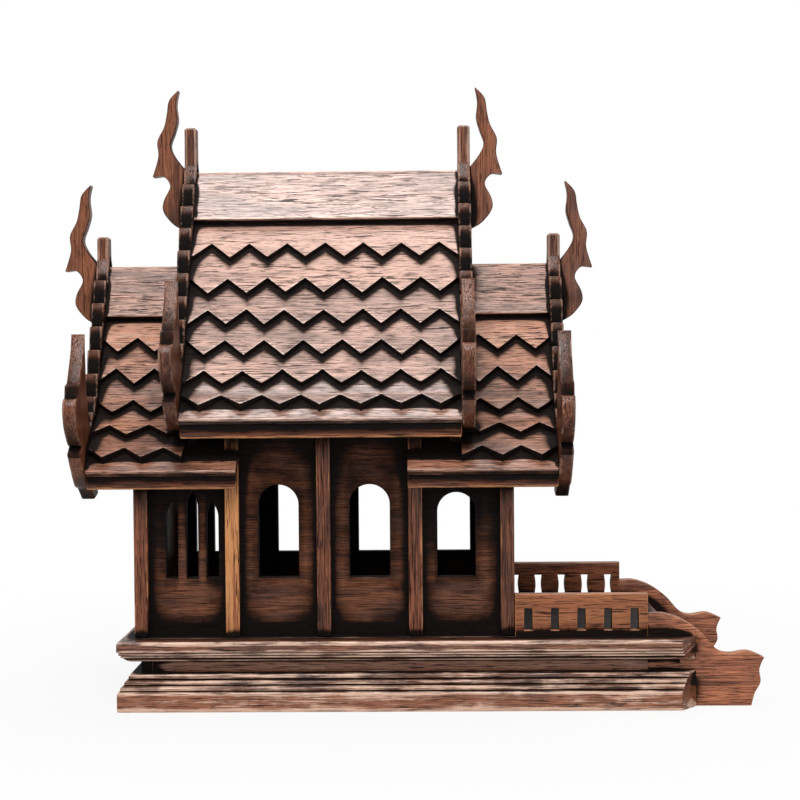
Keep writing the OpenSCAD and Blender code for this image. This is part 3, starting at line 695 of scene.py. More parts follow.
def panel_shade(shells, x0, x1, z0, z1, y):
    """Painted shade on panels: darker to posts, floor and eave, round the windows, in the reveals and inside."""
    for shell in shells:
        x, z = shell.points[:, 0], shell.points[:, 2]
        side, low, high = np.minimum(x - x0, x1 - x), z - z0, z1 - z
        shade = 0.8 * np.exp(-side / 7.0) + 0.85 * np.exp(-low / 11.0) + 0.95 * np.exp(-np.maximum(high, 0) / 24.0)
        shade = shade + 0.45 * np.exp(-shell.from_hole / 3.5)
        reveal = np.abs(np.abs(shell.points[:, 1]) - y) < WALL_T / 2 - 0.12
        inside = np.abs(shell.points[:, 1]) < y
        shell.shade_and_stain = np.where(reveal, 0.9, shade) + 0.5 * inside
        shell.edge = shell.edge * 0.1
    return shells


print("panels are", WALL_T, "mm thick")

# %% [markdown]
# ## Walls, posts, beams and gables
#
# Five posts stand on each long side and panels fill the bays: lancets at the rear, two arched windows in the hall and
# one in the porch bay. Each panel is painted darker towards its posts, the floor and the eave, a painted shade. Soft
# shadow could be left to the lamps alone, but here it is painted and stored on the board.

# %% Walls and posts
FLOOR_Z, WALL_Y, POST_W, POST_OUT, BAY, BAY_MID = 45.0, 70.0, 9.0, 6.0, 59.0, 85.5
HALL_ARCH, PORCH_ARCH, LANCET, LANCET_STEP = (26, 60), (24.5, 54.5), (7.6, 56), 13.2
HALL_SHADE_Z, POST_SHADE_Z, BAY_SHADE_Z = 180, 178, 147
POST_TONES = (0.0, 2.0, -0.2, 0.0, -0.3)
LAP, SILL_Z = 1.0, FLOOR_Z + 38
HALL_END, HOUSE_END = BAY + POST_W / 2, 2 * BAY + POST_W / 2
wall_mid = WALL_Y - WALL_T / 2
main_top, lower_top = (float(r.height(wall_mid, -DECK_T)) + LAP for r in (MAIN, LOWER))

for side, where in SIDES:
    y = side * wall_mid
    hall = [pierced((x0, FLOOR_Z), (x0 + HALL_END, main_top), round_arch(*HALL_ARCH), (x, SILL_Z), y, WALL_T)
            for x0, x in ((-HALL_END, -BAY / 2), (0, BAY / 2))]
    PIECES[f"{where}_wall_hall"] = [panel_shade([panel], a, a + BAY - POST_W, FLOOR_Z, HALL_SHADE_Z, wall_mid)[0]
                                    for panel, a in zip(hall, (-BAY + POST_W / 2, POST_W / 2))]
    bay = [pierced((HALL_END, FLOOR_Z), (HOUSE_END, lower_top), round_arch(*PORCH_ARCH), (BAY_MID, SILL_Z), y, WALL_T)]
    PIECES[f"{where}_wall_porch_bay"] = panel_shade(bay, HALL_END, HOUSE_END - POST_W, FLOOR_Z, BAY_SHADE_Z, wall_mid)
    borders = (-HOUSE_END, -BAY_MID - LANCET_STEP / 2, -BAY_MID + LANCET_STEP / 2, -HALL_END)
    bay = [pierced((borders[i], FLOOR_Z), (borders[i + 1], lower_top), lancet(LANCET[0], LANCET[1] - 7 * abs(i - 1)),
                   (-BAY_MID + LANCET_STEP * (i - 1), SILL_Z), y, WALL_T, step=1.9) for i in range(3)]
    PIECES[f"{where}_wall_rear_bay"] = panel_shade(bay, POST_W - HOUSE_END, -HALL_END, FLOOR_Z, BAY_SHADE_Z, wall_mid)
    posts = []
    for i, x in enumerate((-2 * BAY, -BAY, 0, BAY, 2 * BAY)):
        roof = LOWER if i in (0, 4) else MAIN
        top = float(roof.height(WALL_Y + POST_OUT / 2, -DECK_T)) + LAP
        low, high = (x - POST_W / 2, side * WALL_Y, FLOOR_Z), (x + POST_W / 2, side * (WALL_Y + POST_OUT), top)
        post = bar(low, high, 2, step=1.5)
        rise = post.points[:, 2] - FLOOR_Z
        hang = (BAY_SHADE_Z if roof is LOWER else POST_SHADE_Z) - post.points[:, 2]
        # Painted shade darkens each post under its eave, and the post is made lighter just above the floor.
        post.shade_and_stain = 0.2 * np.exp(-rise / 12.0) - 0.6 * np.exp(-rise / 5.0) + 1.1 * np.exp(-np.maximum(hang, 0) / 13.0)
        post.tone, post.edge = POST_TONES[i], post.edge * 0.6
        post.grain = post.grain + [0, 61.0 * i, 17.0 * i]
        posts.append(post)
    PIECES[f"{where}_posts"] = posts
print("walls and posts:", len(PIECES), "pieces so far")

# %% Beams and gables
MAIN_BEAM_Z, LOWER_BEAM_Z, BEAM_IN, BEAM_T, END_T = 174.5, 142.0, 4.0, 8, 7
MAIN_GABLE, LOWER_GABLE, END_WALL = (85.5, 70), (146.5, 80), (119, 63)
DOOR_W, DOOR_H = 44, 84


def beams(roof, x0, x1, z0):
    """The fascia boards under both eaves."""
    y1 = roof.eave_y - BEAM_IN
    top = float(roof.height(y1 - BEAM_T / 2, -DECK_T)) + LAP
    boards = [bar((x0, side * (y1 - BEAM_T), z0), (x1, side * y1, top), 0, step=1.6) for side in (-1, 1)]
    for board in boards:
        # Painted shade: each fascia board darkens towards its top, under the deck.
        board.shade_and_stain = 0.1 + 0.9 * np.clip((board.points[:, 2] - z0 - 1) / 6, 0, 1)
    return boards


PIECES["main_eave_beams"] = beams(MAIN, -MAIN_END, MAIN_END, MAIN_BEAM_Z)
PIECES["porch_eave_beams"] = beams(LOWER, LOWER_START, LOWER_END, LOWER_BEAM_Z)
PIECES["rear_eave_beams"] = beams(LOWER, -LOWER_END, -LOWER_START, LOWER_BEAM_Z)


def gable(x_mid, thick, half_y, under, over):
    """A panel across the house whose lower and upper edges are both functions of Y."""
    y = np.linspace(-half_y, half_y, stops(2 * half_y, 2.4) | 1)
    low, high = np.broadcast_to(under(y), y.shape), over(y)
    edges = [np.stack([np.full(len(y), x_mid), y, z], axis=1) for z in (np.minimum(low, high - 0.5), high)]
    return ribbon(edges[0], edges[1], (1, 0, 0), thick, 0.4, 3.0, 6, grain=[1, 2, 0])


def under_deck(roof):
    """The underside of a roof's deck as a function of Y, a lap inside the wood."""
    return lambda y: roof.height(y, -DECK_T) + LAP


def over_lower(y):
    """The top of the lower roof's deck, a lap inside the wood."""
    return LOWER.height(y, 0) - LAP


for end, name in ENDS:
    x, half = LOWER_GABLE
    PIECES[f"{name}_gable"] = [gable(end * x, END_T, half, lambda y: LOWER_BEAM_Z, under_deck(LOWER))]
    x, half = MAIN_GABLE
    PIECES[f"main_{name}_gable"] = [gable(end * x, END_T, half, over_lower, under_deck(MAIN))]
x, half = END_WALL
PIECES["rear_wall"] = [gable(-x, END_T, half, lambda y: FLOOR_Z, under_deck(LOWER))]

door = round_arch(DOOR_W, DOOR_H)[1:] + [0, FLOOR_Z]
door = resample(np.vstack([door, [[-DOOR_W / 2, FLOOR_Z]]]), 120)
top_y = np.linspace(half, -half, 61)
wall_line = np.vstack([[[half, FLOOR_Z]], np.stack([top_y, under_deck(LOWER)(top_y)], 1), [[-half, FLOOR_Z]]])
wall_line = resample(wall_line, 120)
edges = [np.column_stack([np.full(120, float(x)), line]) for line in (door, wall_line)]
PIECES["entrance_wall"] = [ribbon(edges[0], edges[1], (1, 0, 0), END_T, 0.6, 3.0, 8, grain=(1, 2, 0))]
print("walls, posts, beams and gables:", len(PIECES), "pieces so far")

# %% [markdown]
# ## Base mouldings
#
# The plinth is a neck between two reeded mouldings. Each moulding is one stepped outline carried along its side and
# mitred at the rear corners, so the reeds meet in a line. A curve with a bevel profile would round the mitre off.
# Here the two ends are straight functions of how far out a point lies, which is what a mitre is.

# %% Mouldings
NECK_Y, NECK_REAR, BASE_ENTRY, RAIL_END = 78.5, 118.0, 227.0, 207.5
MOULD_OUT, MOULD_BEVEL, FACE_TOP, REEDS_TOP = 13.5, 11, 12.3, 25
UPPER_SECTION = np.array([[0.25, 0], [0.42, 0.03], [0.58, 0.1], [0.7, 0.21], [0.74, 0.24], [0.84, 0.27], [0.84, 0.33],
                          [0.78, 0.355], [0.92, 0.39], [0.92, 0.46], [0.87, 0.485], [1, 0.53], [1, 0.9], [0.95, 1]])
LOWER_SECTION = np.array([[0.36, 1], [0.47, 0.985], [0.52, 0.94], [0.52, 0.87], [0.48, 0.845], [0.63, 0.83],
                          [0.7, 0.79], [0.7, 0.73], [0.65, 0.705], [0.79, 0.69], [0.87, 0.65], [0.87, 0.585],
                          [0.81, 0.56], [0.95, 0.545], [1, 0.51], [1, 0.05], [0.97, 0]])


def reeded(section, height, z0):
    """The outline of a moulding, as distance out of the neck and height, closed 1 mm inside the neck."""
    outline = np.column_stack([section[:, 0] * MOULD_OUT, z0 + section[:, 1] * height])
    ends = np.column_stack([[-1.0, -1.0], outline[[-1, 0], 1]])
    return soften(np.vstack([outline, ends]), 0.45, 1.5)


def moulding(loop, edge, start, stop, along_x):
    """An outline carried between two ends that are straight functions of the distance out, which makes the mitres."""
    first, last = start(loop[:, 0]), stop(loop[:, 0])
    t = np.linspace(0, 1, stops(np.max(last - first), 2.0))[:, None]
    run = first + (last - first) * t
    out, z = np.broadcast_to(loop[:, 0], run.shape), np.broadcast_to(loop[:, 1], run.shape)
    points = np.stack([run, NECK_Y + out, z] if along_x else [-NECK_REAR - out, run, z], axis=-1)
    shell = carry(points, edge, np.stack([run, z, out], axis=-1))
    ending = np.exp(-(last - run) / 2.0).ravel() if along_x else 0.0
    z = shell.points[:, 2]
    face, reeds = z < FACE_TOP, (z > FACE_TOP) & (z < REEDS_TOP)
    # Grooves get stain and painted shade; the broad face and the ends near the entry are made lighter.
    shell.shade_and_stain = np.where(shell.edge < 0, 1.2, np.select([face, reeds], [-0.6, 0.05], 0.1)) - 0.9 * ending
    shell.edge = np.select([face, reeds], [np.maximum(shell.edge, 0.3), 0.5 * shell.edge], 0.75 * shell.edge)
    shell.tone = np.where(face, 1.0, 0.0)
    return shell


def entry_end(out):
    """The entry end of a long moulding, cut a little on the slant."""
    return BASE_ENTRY + MOULD_BEVEL - out * MOULD_BEVEL / MOULD_OUT


for section, height, z0, name in ((UPPER_SECTION, 14.0, 31.0, "upper"), (LOWER_SECTION, 23.5, 0.0, "lower")):
    loop, edge = reeded(section, height, z0)
    for side, where in SIDES:
        shell = moulding(loop, edge, lambda o: -NECK_REAR - o, entry_end, True)
        PIECES[f"{name}_molding_{where}"] = placed([shell], side)
    PIECES[f"{name}_molding_rear"] = [moulding(loop, edge, lambda o: -NECK_Y - o, lambda o: NECK_Y + o, False)]
    print(name, "moulding outline:", len(loop), "points")

# %% [markdown]
# ## Floor, neck and stair
#
# These are straight boards. Cubes scaled to size would do for the shape, but then the edges would be knife sharp and
# the boards could not tell how far they reach under the house. The floor is painted darker under the roof and more so
# indoors, a painted shade with stain, and the neck is painted lighter along its middle, a painted light.

# %% Floor, neck and treads
FLOOR_LOW, FOOT_Z, NECK_T = 37, 0.2, 7.0
TREADS, TREAD_DEEP, TREAD_T, STEP_H = 3, 14, 6, 11.25
INNER_Y = NECK_Y - NECK_T

floor = [bar((-NECK_REAR, -NECK_Y, FLOOR_LOW), (RAIL_END, NECK_Y, FLOOR_Z), 0, 0.5, 3.2, 3.2),
         bar((RAIL_END - 1, -INNER_Y, FLOOR_LOW), (BASE_ENTRY, INNER_Y, FLOOR_Z), 1, 0.7)]
for board in floor:
    x, covered = board.points[:, 0], np.abs(board.points[:, 1]) < POST_FACE
    # Painted shade with stain: darker under the roof, darker still indoors.
    indoors = 1 / (1 + np.exp((x - HOUSE_END - 4) / 2))
    board.shade_and_stain, board.edge = np.where(covered, 0.45 + 0.6 * indoors, 0.2), np.where(covered, 0, board.edge)
PIECES["floor_board"] = floor
for side, where in SIDES:
    neck = bar((NECK_T - NECK_REAR, side * INNER_Y, FOOT_Z), (RAIL_END, side * NECK_Y, FLOOR_LOW), 0, 0.3, 1.6)
    x, z = neck.points[:, 0], neck.points[:, 2]
    # Painted light: the neck lies in the shade of the upper moulding, so its middle is painted lighter and its tone
    # raised.
    middle = np.clip(np.minimum(x + 109, RAIL_END + 8 - x) / 16, 0, 1)
    neck.shade_and_stain, neck.tone = -2.4 * middle * np.clip((30.5 - z) / 3, 0, 1), 1.15
    PIECES[f"{where}_riser"] = [neck]
rear = bar((-NECK_REAR, -NECK_Y, FOOT_Z), (NECK_T - NECK_REAR, NECK_Y, FLOOR_LOW), 1, 0.4)
rear.shade_and_stain, rear.edge = np.full(len(rear.points), 1.0), 0 * rear.edge
PIECES["rear_riser"] = [rear]
PIECES["entry_riser"] = [bar((BASE_ENTRY - NECK_T, -INNER_Y, FOOT_Z), (BASE_ENTRY, INNER_Y, FLOOR_LOW), 1, 0.5)]
PIECES["stair_treads"] = []
for i in range(TREADS):
    x, top = BASE_ENTRY + TREAD_DEEP * i, FLOOR_Z - STEP_H * (i + 1)
    tread = bar((x, -INNER_Y, top - TREAD_T), (x + TREAD_DEEP, INNER_Y, top), 1, 0.9)
    tread.shade_and_stain, tread.edge = np.full(len(tread.points), 0.5), tread.edge * 0.3
    PIECES["stair_treads"].append(tread)
print("floor, neck and treads:", len(PIECES), "pieces so far")

# %% [markdown]
# ## Strings and rails
#
# The two strings carry the stair and end in a curl. A traced curve would do for one size only, so their outline is
# drawn as smooth lines through a few points, in shares of the string's length and the floor's height. The rail is a
# row of slots cut in one plank: straight saw cuts on the near side, waisted ones on the far side.

# %% Strings and rails
STRING_LONG, STRING_UP, RAIL_Y, BOARD_T = 74.0, 14.5, 75.0, 7
SLOTS, SLOT_H, SLOT_LIFT, RAIL_H = 5, 14, 4.5, 27.5
BAND_LOW, BAND_HIGH = 21, 32


def string_board(side):
    """A stair string: its swept top edge is matched to its foot and then to its curled front."""
    r, f, h = STRING_LONG, FLOOR_Z, STRING_UP
    top = spline([[0, f + h], [0.14 * r, f + h], [0.3 * r, f + 0.72 * h], [0.46 * r, f + 0.14 * h],
                  [0.59 * r, 0.81 * f], [0.7 * r, 0.75 * f], [0.86 * r, 0.78 * f], [r, 0.69 * f]])
    front = spline([[r, 0.69 * f], [0.96 * r, 0.52 * f], [0.97 * r, 0.34 * f], [0.92 * r, 0.18 * f], [0.89 * r, 0]])
    foot = np.vstack([resample([[0, 0], [0.89 * r, 0]], 46)[:-1], resample(front[::-1], 30)])
    top = resample(top, len(foot))
    lines = [np.column_stack([line[:, 0] + RAIL_END, np.full(len(line), side * RAIL_Y), line[:, 1] + 0.05])
             for line in (foot, top)]
    shell = ribbon(lines[0], lines[1], (0, 1, 0), BOARD_T, 0.7, 1.8, 10, grain=[0, 2, 1])
    past = np.maximum(shell.points[:, 0] - BASE_ENTRY - 8, 0)
    z = shell.points[:, 2]
    # Made lighter across the band at the neck's height, and painted shade below the floor's height; both fade past the
    # entry.
    shell.shade_and_stain = np.where((z > BAND_LOW) & (z < BAND_HIGH), -1.8, 0.9 * (z < FLOOR_Z)) * np.exp(-past / 6.0)
    return shell


def rail(side):
    """Five slotted cells side by side; only the top and the two ends are rounded."""
    pitch = (RAIL_END - HOUSE_END) / SLOTS
    cells = []
    for i in range(SLOTS):
        x0 = HOUSE_END + i * pitch
        slot = waisted_slot(5.6, SLOT_H) if side > 0 else plain_slot(5.4 - 0.3 * (i % 2), SLOT_H)
        cell = pierced((x0, FLOOR_Z), (x0 + pitch, FLOOR_Z + RAIL_H), slot, (x0 + pitch / 2, FLOOR_Z + SLOT_LIFT),
                       side * RAIL_Y, BOARD_T, 1.5, (0, i == SLOTS - 1, 1, i == 0), 0.7)
        cell.tone, cell.edge = 1.45 if side < 0 else 0.7, 1.4 * cell.edge
        cells.append(cell)
    return cells


for side, where in SIDES:
    PIECES[f"{where}_string"] = [string_board(side)]
    PIECES[f"{where}_porch_rail"] = rail(side)
print("base pieces made:", len(PIECES), "pieces so far")

# %% [markdown]
# ## Toothed bargeboards and finials
#
# Bargeboards close the roof ends, and their rounded teeth stand for the scales of a naga. A bargeboard is a flat board
# sawn to an outline that follows the slope. An array modifier could repeat one tooth along a curve, but here the
# whole outer edge is one line, so board and teeth share one grain.

# %% Bargeboards
def front_share(shell, inner, outer):
    """One on the outer edge of a ribbon, falling to zero a little way in from it."""
    count = len(shell.points) // len(inner)
    across = (outer - inner) / np.maximum(np.linalg.norm(outer - inner, axis=1), 1e-6)[:, None]
    left = np.sum((np.repeat(outer, count, 0) - shell.points) * np.repeat(across, count, 0), axis=1)
    return np.clip(1.4 - left / 1.6, 0, 1)


def barge_arm(roof, x_mid):
    """Half a bargeboard: teeth are half rounds set along the slope, the lower edge runs parallel to the deck."""
    up, down, tooth, pitch = 6.0, 14.0, 7.5, 17.6
    stop = roof.length - 10.0
    first = pitch / 2
    teeth = math.floor((roof.length - 12 - first) / pitch)
    share = np.array([0, 0.015, 0.04, 0.08, 0.14, 0.22, 0.32, 0.43, 0.54, 0.65, 0.76, 0.86, 0.94, 0.985])
    bulge = np.minimum(1, share / 0.1) ** 0.55 * (1 - share) ** 0.55
    s_teeth = (first + (np.arange(teeth)[:, None] + share) * pitch).ravel()
    d_teeth = np.tile(up + tooth * bulge, teeth)
    rest = np.linspace(first + teeth * pitch, stop, 6)
    s_out, d_out = np.concatenate([s_teeth, rest]), np.concatenate([d_teeth, 0 * rest + up])
    y, z = roof.point(s_out, d_out)
    crown = np.array([[0.0, roof.apex + 16], [2.5, roof.apex + 14], [6.0, roof.apex + 8.5]])
    outer = np.vstack([crown, np.column_stack([y, z])])
    ridge = down * math.tan(roof.pitch)
    s_in = np.concatenate([ridge + np.array([0, 0.4, 0.8]), np.maximum(s_out, ridge + 1.2 + 0.02 * s_out)])
    inner = np.column_stack(roof.point(s_in, -down))
    lines = [np.column_stack([np.full(len(line), x_mid), line]) for line in (inner, outer)]
    shell = ribbon(lines[0], lines[1], (1, 0, 0), BARGE_T, 1.7, 2.0, 8)
    count = len(shell.points) // len(s_in)
    shell.grain = np.column_stack([np.repeat(s_in, count), shell.points[:, 2], shell.points[:, 0]])
    # Painted shade: along the outer edge each tooth darkens over its lower part, below its lit top.
    fall = np.concatenate([[0, 0, 0], np.tile(np.clip((share - 0.2) / 0.5, 0, 1), teeth), 0 * rest + 0.4])
    shell.shade_and_stain = 0.25 + front_share(shell, *lines) * (0.1 + 1.0 * np.repeat(fall, count))
    return shell


def bargeboard(roof, x_mid):
    """Two toothed arms and the square spire between them."""
    half = BARGE_T / 2
    spire = bar((x_mid - half, -half, roof.apex - 6), (x_mid + half, half, roof.apex + roof.spire), 2, 1.5, 1.6, 1.8)
    return [barge_arm(roof, x_mid), *flipped([barge_arm(roof, x_mid)], 1), spire]


print("bargeboards are", BARGE_T, "mm thick")

# %% [markdown]
# ## Finials
#
# The tail finials at the eaves are the rearing heads of the naga, and the bird-like finial on each ridge is the chofa.
# They are flat boards as well, so each is a ribbon between two edge curves, carried from tip to foot. Their numbers are
# shares of a reach and a height, which makes the outline easy to redraw.

# %% Finials
FINIAL_STOPS, LOBE_STOPS, CHOFA_DROP = 110, 37, 34


def tail_finial(roof, x_mid):
    """A rearing naga head over the eave: notched outer edge, smooth inner edge, both from tip to foot."""
    r, h, d = 24.0, 87.0, 13.0 if roof is MAIN else 20.0
    outer = [spline([[-0.26 * r, h], [-0.1 * r, 0.88 * h], [0.2 * r, 0.74 * h], [0.42 * r, 0.64 * h]]),
             spline([[0.67 * r, 0.625 * h], [0.72 * r, 0.54 * h]]),
             spline([[0.92 * r, 0.525 * h], [r, 0.455 * h], [0.87 * r, 0.33 * h], [0.5 * r, 0.215 * h],
                     [0.24 * r, 0.185 * h]]),
             spline([[0.5 * r, 0.13 * h], [0.17 * r, 0.02 * h], [-0.3 * r, -0.48 * d], [-0.7 * r, -0.62 * d],
                     [-1.2 * r, -d]])]
    inner = spline([[-0.26 * r, h], [-0.36 * r, 0.8 * h], [-0.42 * r, 0.6 * h], [-0.72 * r, 0.37 * h],
                    [-1.15 * r, 0.1 * h], [-1.5 * r, -0.2 * d], [-1.75 * r, -0.84 * d]])
    outer, inner = resample(np.vstack(outer), FINIAL_STOPS), resample(inner, FINIAL_STOPS)
    lines = [np.column_stack([np.full(FINIAL_STOPS, x_mid), line + [roof.eave_y, roof.eave_z]])
             for line in (inner, outer)]
    if roof is MAIN:
        for line in lines:
            line[:, 2] = np.maximum(line[:, 2], LOWER.height(line[:, 1], COURSE_T + 0.4))
    shell = ribbon(lines[0], lines[1], (1, 0, 0), BARGE_T - 0.02, 1.7, 1.8, 10, grain=[2, 1, 0])
    # Painted shade along the outer edge, darkening towards the lower end of each lobe.
    lobe = np.interp(np.arange(FINIAL_STOPS) % LOBE_STOPS, [0, 6, 26, 36], [0.1, 0.35, 1.0, 1.2])
    lobe = np.repeat(lobe, len(shell.points) // FINIAL_STOPS)
    shell.edge = shell.edge * 0.7
    shell.shade_and_stain = 0.75 * front_share(shell, *lines) * lobe - 0.1
    return shell


def chofa(roof, face):
    """A bird's neck and beak with its foot on the bargeboard: outer edge tip, beak, throat, foot; inner edge behind."""
    r, h = 22.0, 96.0
    crest = spline([[0.17 * r, h], [0.46 * r, 0.93 * h], [0.54 * r, 0.83 * h], [0.63 * r, 0.74 * h],
                    [0.84 * r, 0.64 * h], [0.82 * r, 0.53 * h], [r, 0.39 * h]])
    throat = spline([[0.98 * r, 0.385 * h], [0.66 * r, 0.39 * h], [0.46 * r, 0.32 * h], [0.66 * r, 0.22 * h],
                     [0.68 * r, 0.14 * h], [0.38 * r, 0.05 * h], [0.02 * r, 0]])
    nape = spline([[0.17 * r, h], [0.24 * r, 0.9 * h], [0.2 * r, 0.79 * h], [0.3 * r, 0.7 * h],
                   [0.43 * r, 0.61 * h], [0.3 * r, 0.53 * h], [0, 0.44 * h]])
    outer = np.vstack([resample(crest, 60), resample(throat, 50)])
    inner = np.vstack([resample(nape, 60), resample([[0, 0.43 * h], [0, 0]], 50)])
    lines = [np.column_stack([line[:, 0] + face, 0 * line[:, 0], line[:, 1] + roof.apex - CHOFA_DROP])
             for line in (inner, outer)]
    shell = ribbon(lines[0], lines[1], (0, -1, 0), 9, 1.0, 1.6, 10, grain=[2, 0, 1])
    shell.shade_and_stain, shell.tone = 0.45 * shell.edge, 0.5
    shell.edge = shell.edge * 0.15
    return shell


for roof, x_end, name in ((MAIN, MAIN_END, "main_"), (LOWER, LOWER_END, "")):
    x_mid = x_end + BARGE_T / 2
    for end, tail in ENDS:
        trim = {"bargeboard": bargeboard(roof, x_mid),
                "tail_finials": [tail_finial(roof, x_mid), *flipped([tail_finial(roof, x_mid)], 1)],
                "chofa": [chofa(roof, x_end + BARGE_T)]}
        for kind, shells in trim.items():
            PIECES[f"{name}{tail}_{kind}"] = placed(shells, end=end)
print("all pieces:", len(PIECES), "points", sum(len(s.points) for v in PIECES.values() for s in v))

# %% [markdown]
# ## From arrays to Blender meshes
#
# Each list of boards becomes one mesh that takes the place of its CAD node. Boards that end in a point have
# collapsed corners there, so doubled points are merged, and the faces are then turned outward board by board. Adding
# faces one at a time would do as well, but whole arrays handed over at once are many times quicker.

# %% Mesh from arrays
import bmesh

OBJECTS = {}
SAME_POINT, NO_LENGTH, SHARP_EDGE = 2e-6, 1e-6, math.radians(38)


def raw_mesh(name, points, quads, caps):
    """A mesh from corner points in metres, faces with four corners, and end caps with any number."""
    corners = np.concatenate([quads.ravel(), *caps]).astype(np.int32)
    sizes = np.concatenate([np.full(len(quads), 4), [len(c) for c in caps]]).astype(np.int32)
    mesh = bpy.data.meshes.new(name)
    mesh.vertices.add(len(points))
    mesh.vertices.foreach_set("co", points.astype(np.float32).ravel())
    mesh.loops.add(len(corners))
    mesh.loops.foreach_set("vertex_index", corners)
    mesh.polygons.add(len(sizes))
    mesh.polygons.foreach_set("loop_start", np.concatenate([[0], np.cumsum(sizes)[:-1]]).astype(np.int32))
    mesh.update(calc_edges=True)
    return mesh


def store(mesh, name, values):
    """Keep three numbers on every point of a mesh, for the materials to read."""
    layer = mesh.attributes.new(name, "FLOAT_VECTOR", "POINT")
    layer.data.foreach_set("vector", values.astype(np.float32).ravel())


def clean(mesh):
    """Merge doubled points, turn faces outward, and shade smooth up to the sharp edges."""
    work = bmesh.new()
    work.from_mesh(mesh)
    bmesh.ops.remove_doubles(work, verts=work.verts, dist=SAME_POINT)
    bmesh.ops.dissolve_degenerate(work, dist=NO_LENGTH, edges=work.edges)
    bmesh.ops.recalc_face_normals(work, faces=work.faces)
    work.to_mesh(mesh)
    work.free()
    mesh.polygons.foreach_set("use_smooth", np.ones(len(mesh.polygons), dtype=bool))
    mesh.set_sharp_from_angle(angle=SHARP_EDGE)


print("points closer than", SAME_POINT / MM, "mm are merged")

# %% Build the meshes
def build(node, shells):
    """One object at the origin from all the boards of a piece."""
    start = np.cumsum([0] + [len(s.points) for s in shells])
    points = (np.vstack([s.points for s in shells]) + [HALL_X, 0, 0]) * MM
    quads = np.vstack([s.quads + first for s, first in zip(shells, start)])
    caps = [cap + first for s, first in zip(shells, start) for cap in s.caps]
    mesh = raw_mesh(f"carved_{node}", points, quads, caps)
    tone = np.concatenate([np.full(len(s.points), s.tone) for s in shells])
    edge, shade_and_stain = (np.concatenate([getattr(s, part) for s in shells]) for part in ("edge", "shade_and_stain"))
    store(mesh, "grain", np.vstack([s.grain for s in shells]))
    store(mesh, "finish", np.column_stack([edge, shade_and_stain, tone]))
    clean(mesh)
    obj = bpy.data.objects.new(f"carved_{node}", mesh)
    bpy.context.collection.objects.link(obj)
    OBJECTS[node] = obj


for node, shells in PIECES.items():
    build(node, shells)
print("meshes:", len(OBJECTS), "faces", sum(len(o.data.polygons) for o in OBJECTS.values()))

# %% [markdown]
# ## Where stain and painted shade gather
#
# The wood looks as if a near-black stain had been brushed on and wiped off, so that it stayed wherever a cloth could
# not reach. Those hollows are also where shade falls, so the darkening painted there is stain and painted shade at
# once. To find those places the whole house is turned into small cubes of wood and air. Blurring the cubes tells
# how much wood surrounds a point: a flat board has half, a corner or a slot has more. Ambient occlusion could be baked
# instead, but counting cubes is quick and gives the same answer every time.

# %% Cubes and crossings
CELL, GRID_PAD = 1.5 * MM, 12 * MM
every_point = np.vstack([s.points for shells in PIECES.values() for s in shells]) + [HALL_X, 0, 0]
GRID_LOW = every_point.min(0) * MM - GRID_PAD
GRID_SIZE = np.ceil((every_point.max(0) * MM - GRID_LOW + GRID_PAD) / CELL).astype(int)


def column_hits(tri):
    """
    Where the upright lines through the cubes cross a set of triangles. Each crossing counts minus one through a face
    that looks up and plus one through a face that looks down, so a running sum up the line is the wood around it.
    """
    low = np.floor(tri[:, :, :2].min(1)).astype(int) + 1
    span = (np.floor(tri[:, :, :2].max(1)).astype(int) - low + 1).max(1)
    found = []
    for size in 2 ** np.arange(0, 10):
        group = (span > size // 2) & (span <= size)
        a, first = tri[group, 0], low[group]
        if not len(a):
            continue
        b, c = tri[group, 1] - a, tri[group, 2] - a
        det = b[:, 0] * c[:, 1] - c[:, 0] * b[:, 1]
        safe = np.where(np.abs(det) < 1e-9, 1e30, det)
        for i, j in np.ndindex(size, size):
            px, py = first[:, 0] + i - a[:, 0], first[:, 1] + j - a[:, 1]
            u = (px * c[:, 1] - py * c[:, 0]) / safe
            v = (py * b[:, 0] - px * b[:, 1]) / safe
            hit = (u >= 0) & (v >= 0) & (u + v < 1) & (np.abs(det) > 1e-9)
            z = np.ceil(a[hit, 2] + u[hit] * b[hit, 2] + v[hit] * c[hit, 2]).astype(int)
            place = np.column_stack([first[hit] + [i, j], z])
            found.append(np.column_stack([place, -np.sign(det[hit])]).astype(np.int32))
    return np.vstack(found)


print("cubes along each axis:", GRID_SIZE.tolist())

# %% [markdown]
# ## Blur and read the cubes
#
# A wide average is a box average taken three times, and a running sum makes each of those cheap. Reading between the
# cubes blends the eight nearest, so the finish shows no steps. A volume grid in Blender could hold the same numbers,
# but plain arrays are easier to look into.

# %% Blur and read
OFF_CORNERS = [0.0137, 0.0291, 0.0]


def box_blur(field, reach):
    """Average of the cubes within reach along each axis in turn, three times over."""
    for axis in (0, 1, 2) * 3:
        pad = [(0, 0)] * 3
        pad[axis] = (reach + 1, reach)
        total = np.cumsum(np.pad(field, pad), axis=axis, dtype=np.float32)
        upper = np.take(total, np.arange(2 * reach + 1, total.shape[axis]), axis=axis)
        lower = np.take(total, np.arange(0, total.shape[axis] - 2 * reach - 1), axis=axis)
        field = (upper - lower) / (2 * reach + 1)
    return field


def look_up(field, at):
    """Value of a field between its cubes: a blend of the eight nearest."""
    at = np.clip(at, 0, np.array(field.shape) - 1.01)
    base = at.astype(int)
    t = at - base
    total = 0
    for corner in np.ndindex(2, 2, 2):
        weight = np.prod(np.where(corner, t, 1 - t), axis=1)
        total = total + weight * field[tuple((base + corner).T)]
    return total


def mesh_points(mesh):
    """Places and normals of a mesh's points, as arrays."""
    co, normal = (np.empty(len(mesh.vertices) * 3, np.float32) for _ in range(2))
    mesh.vertices.foreach_get("co", co)
    mesh.vertices.foreach_get("normal", normal)
    return co.reshape(-1, 3).astype(float), normal.reshape(-1, 3)


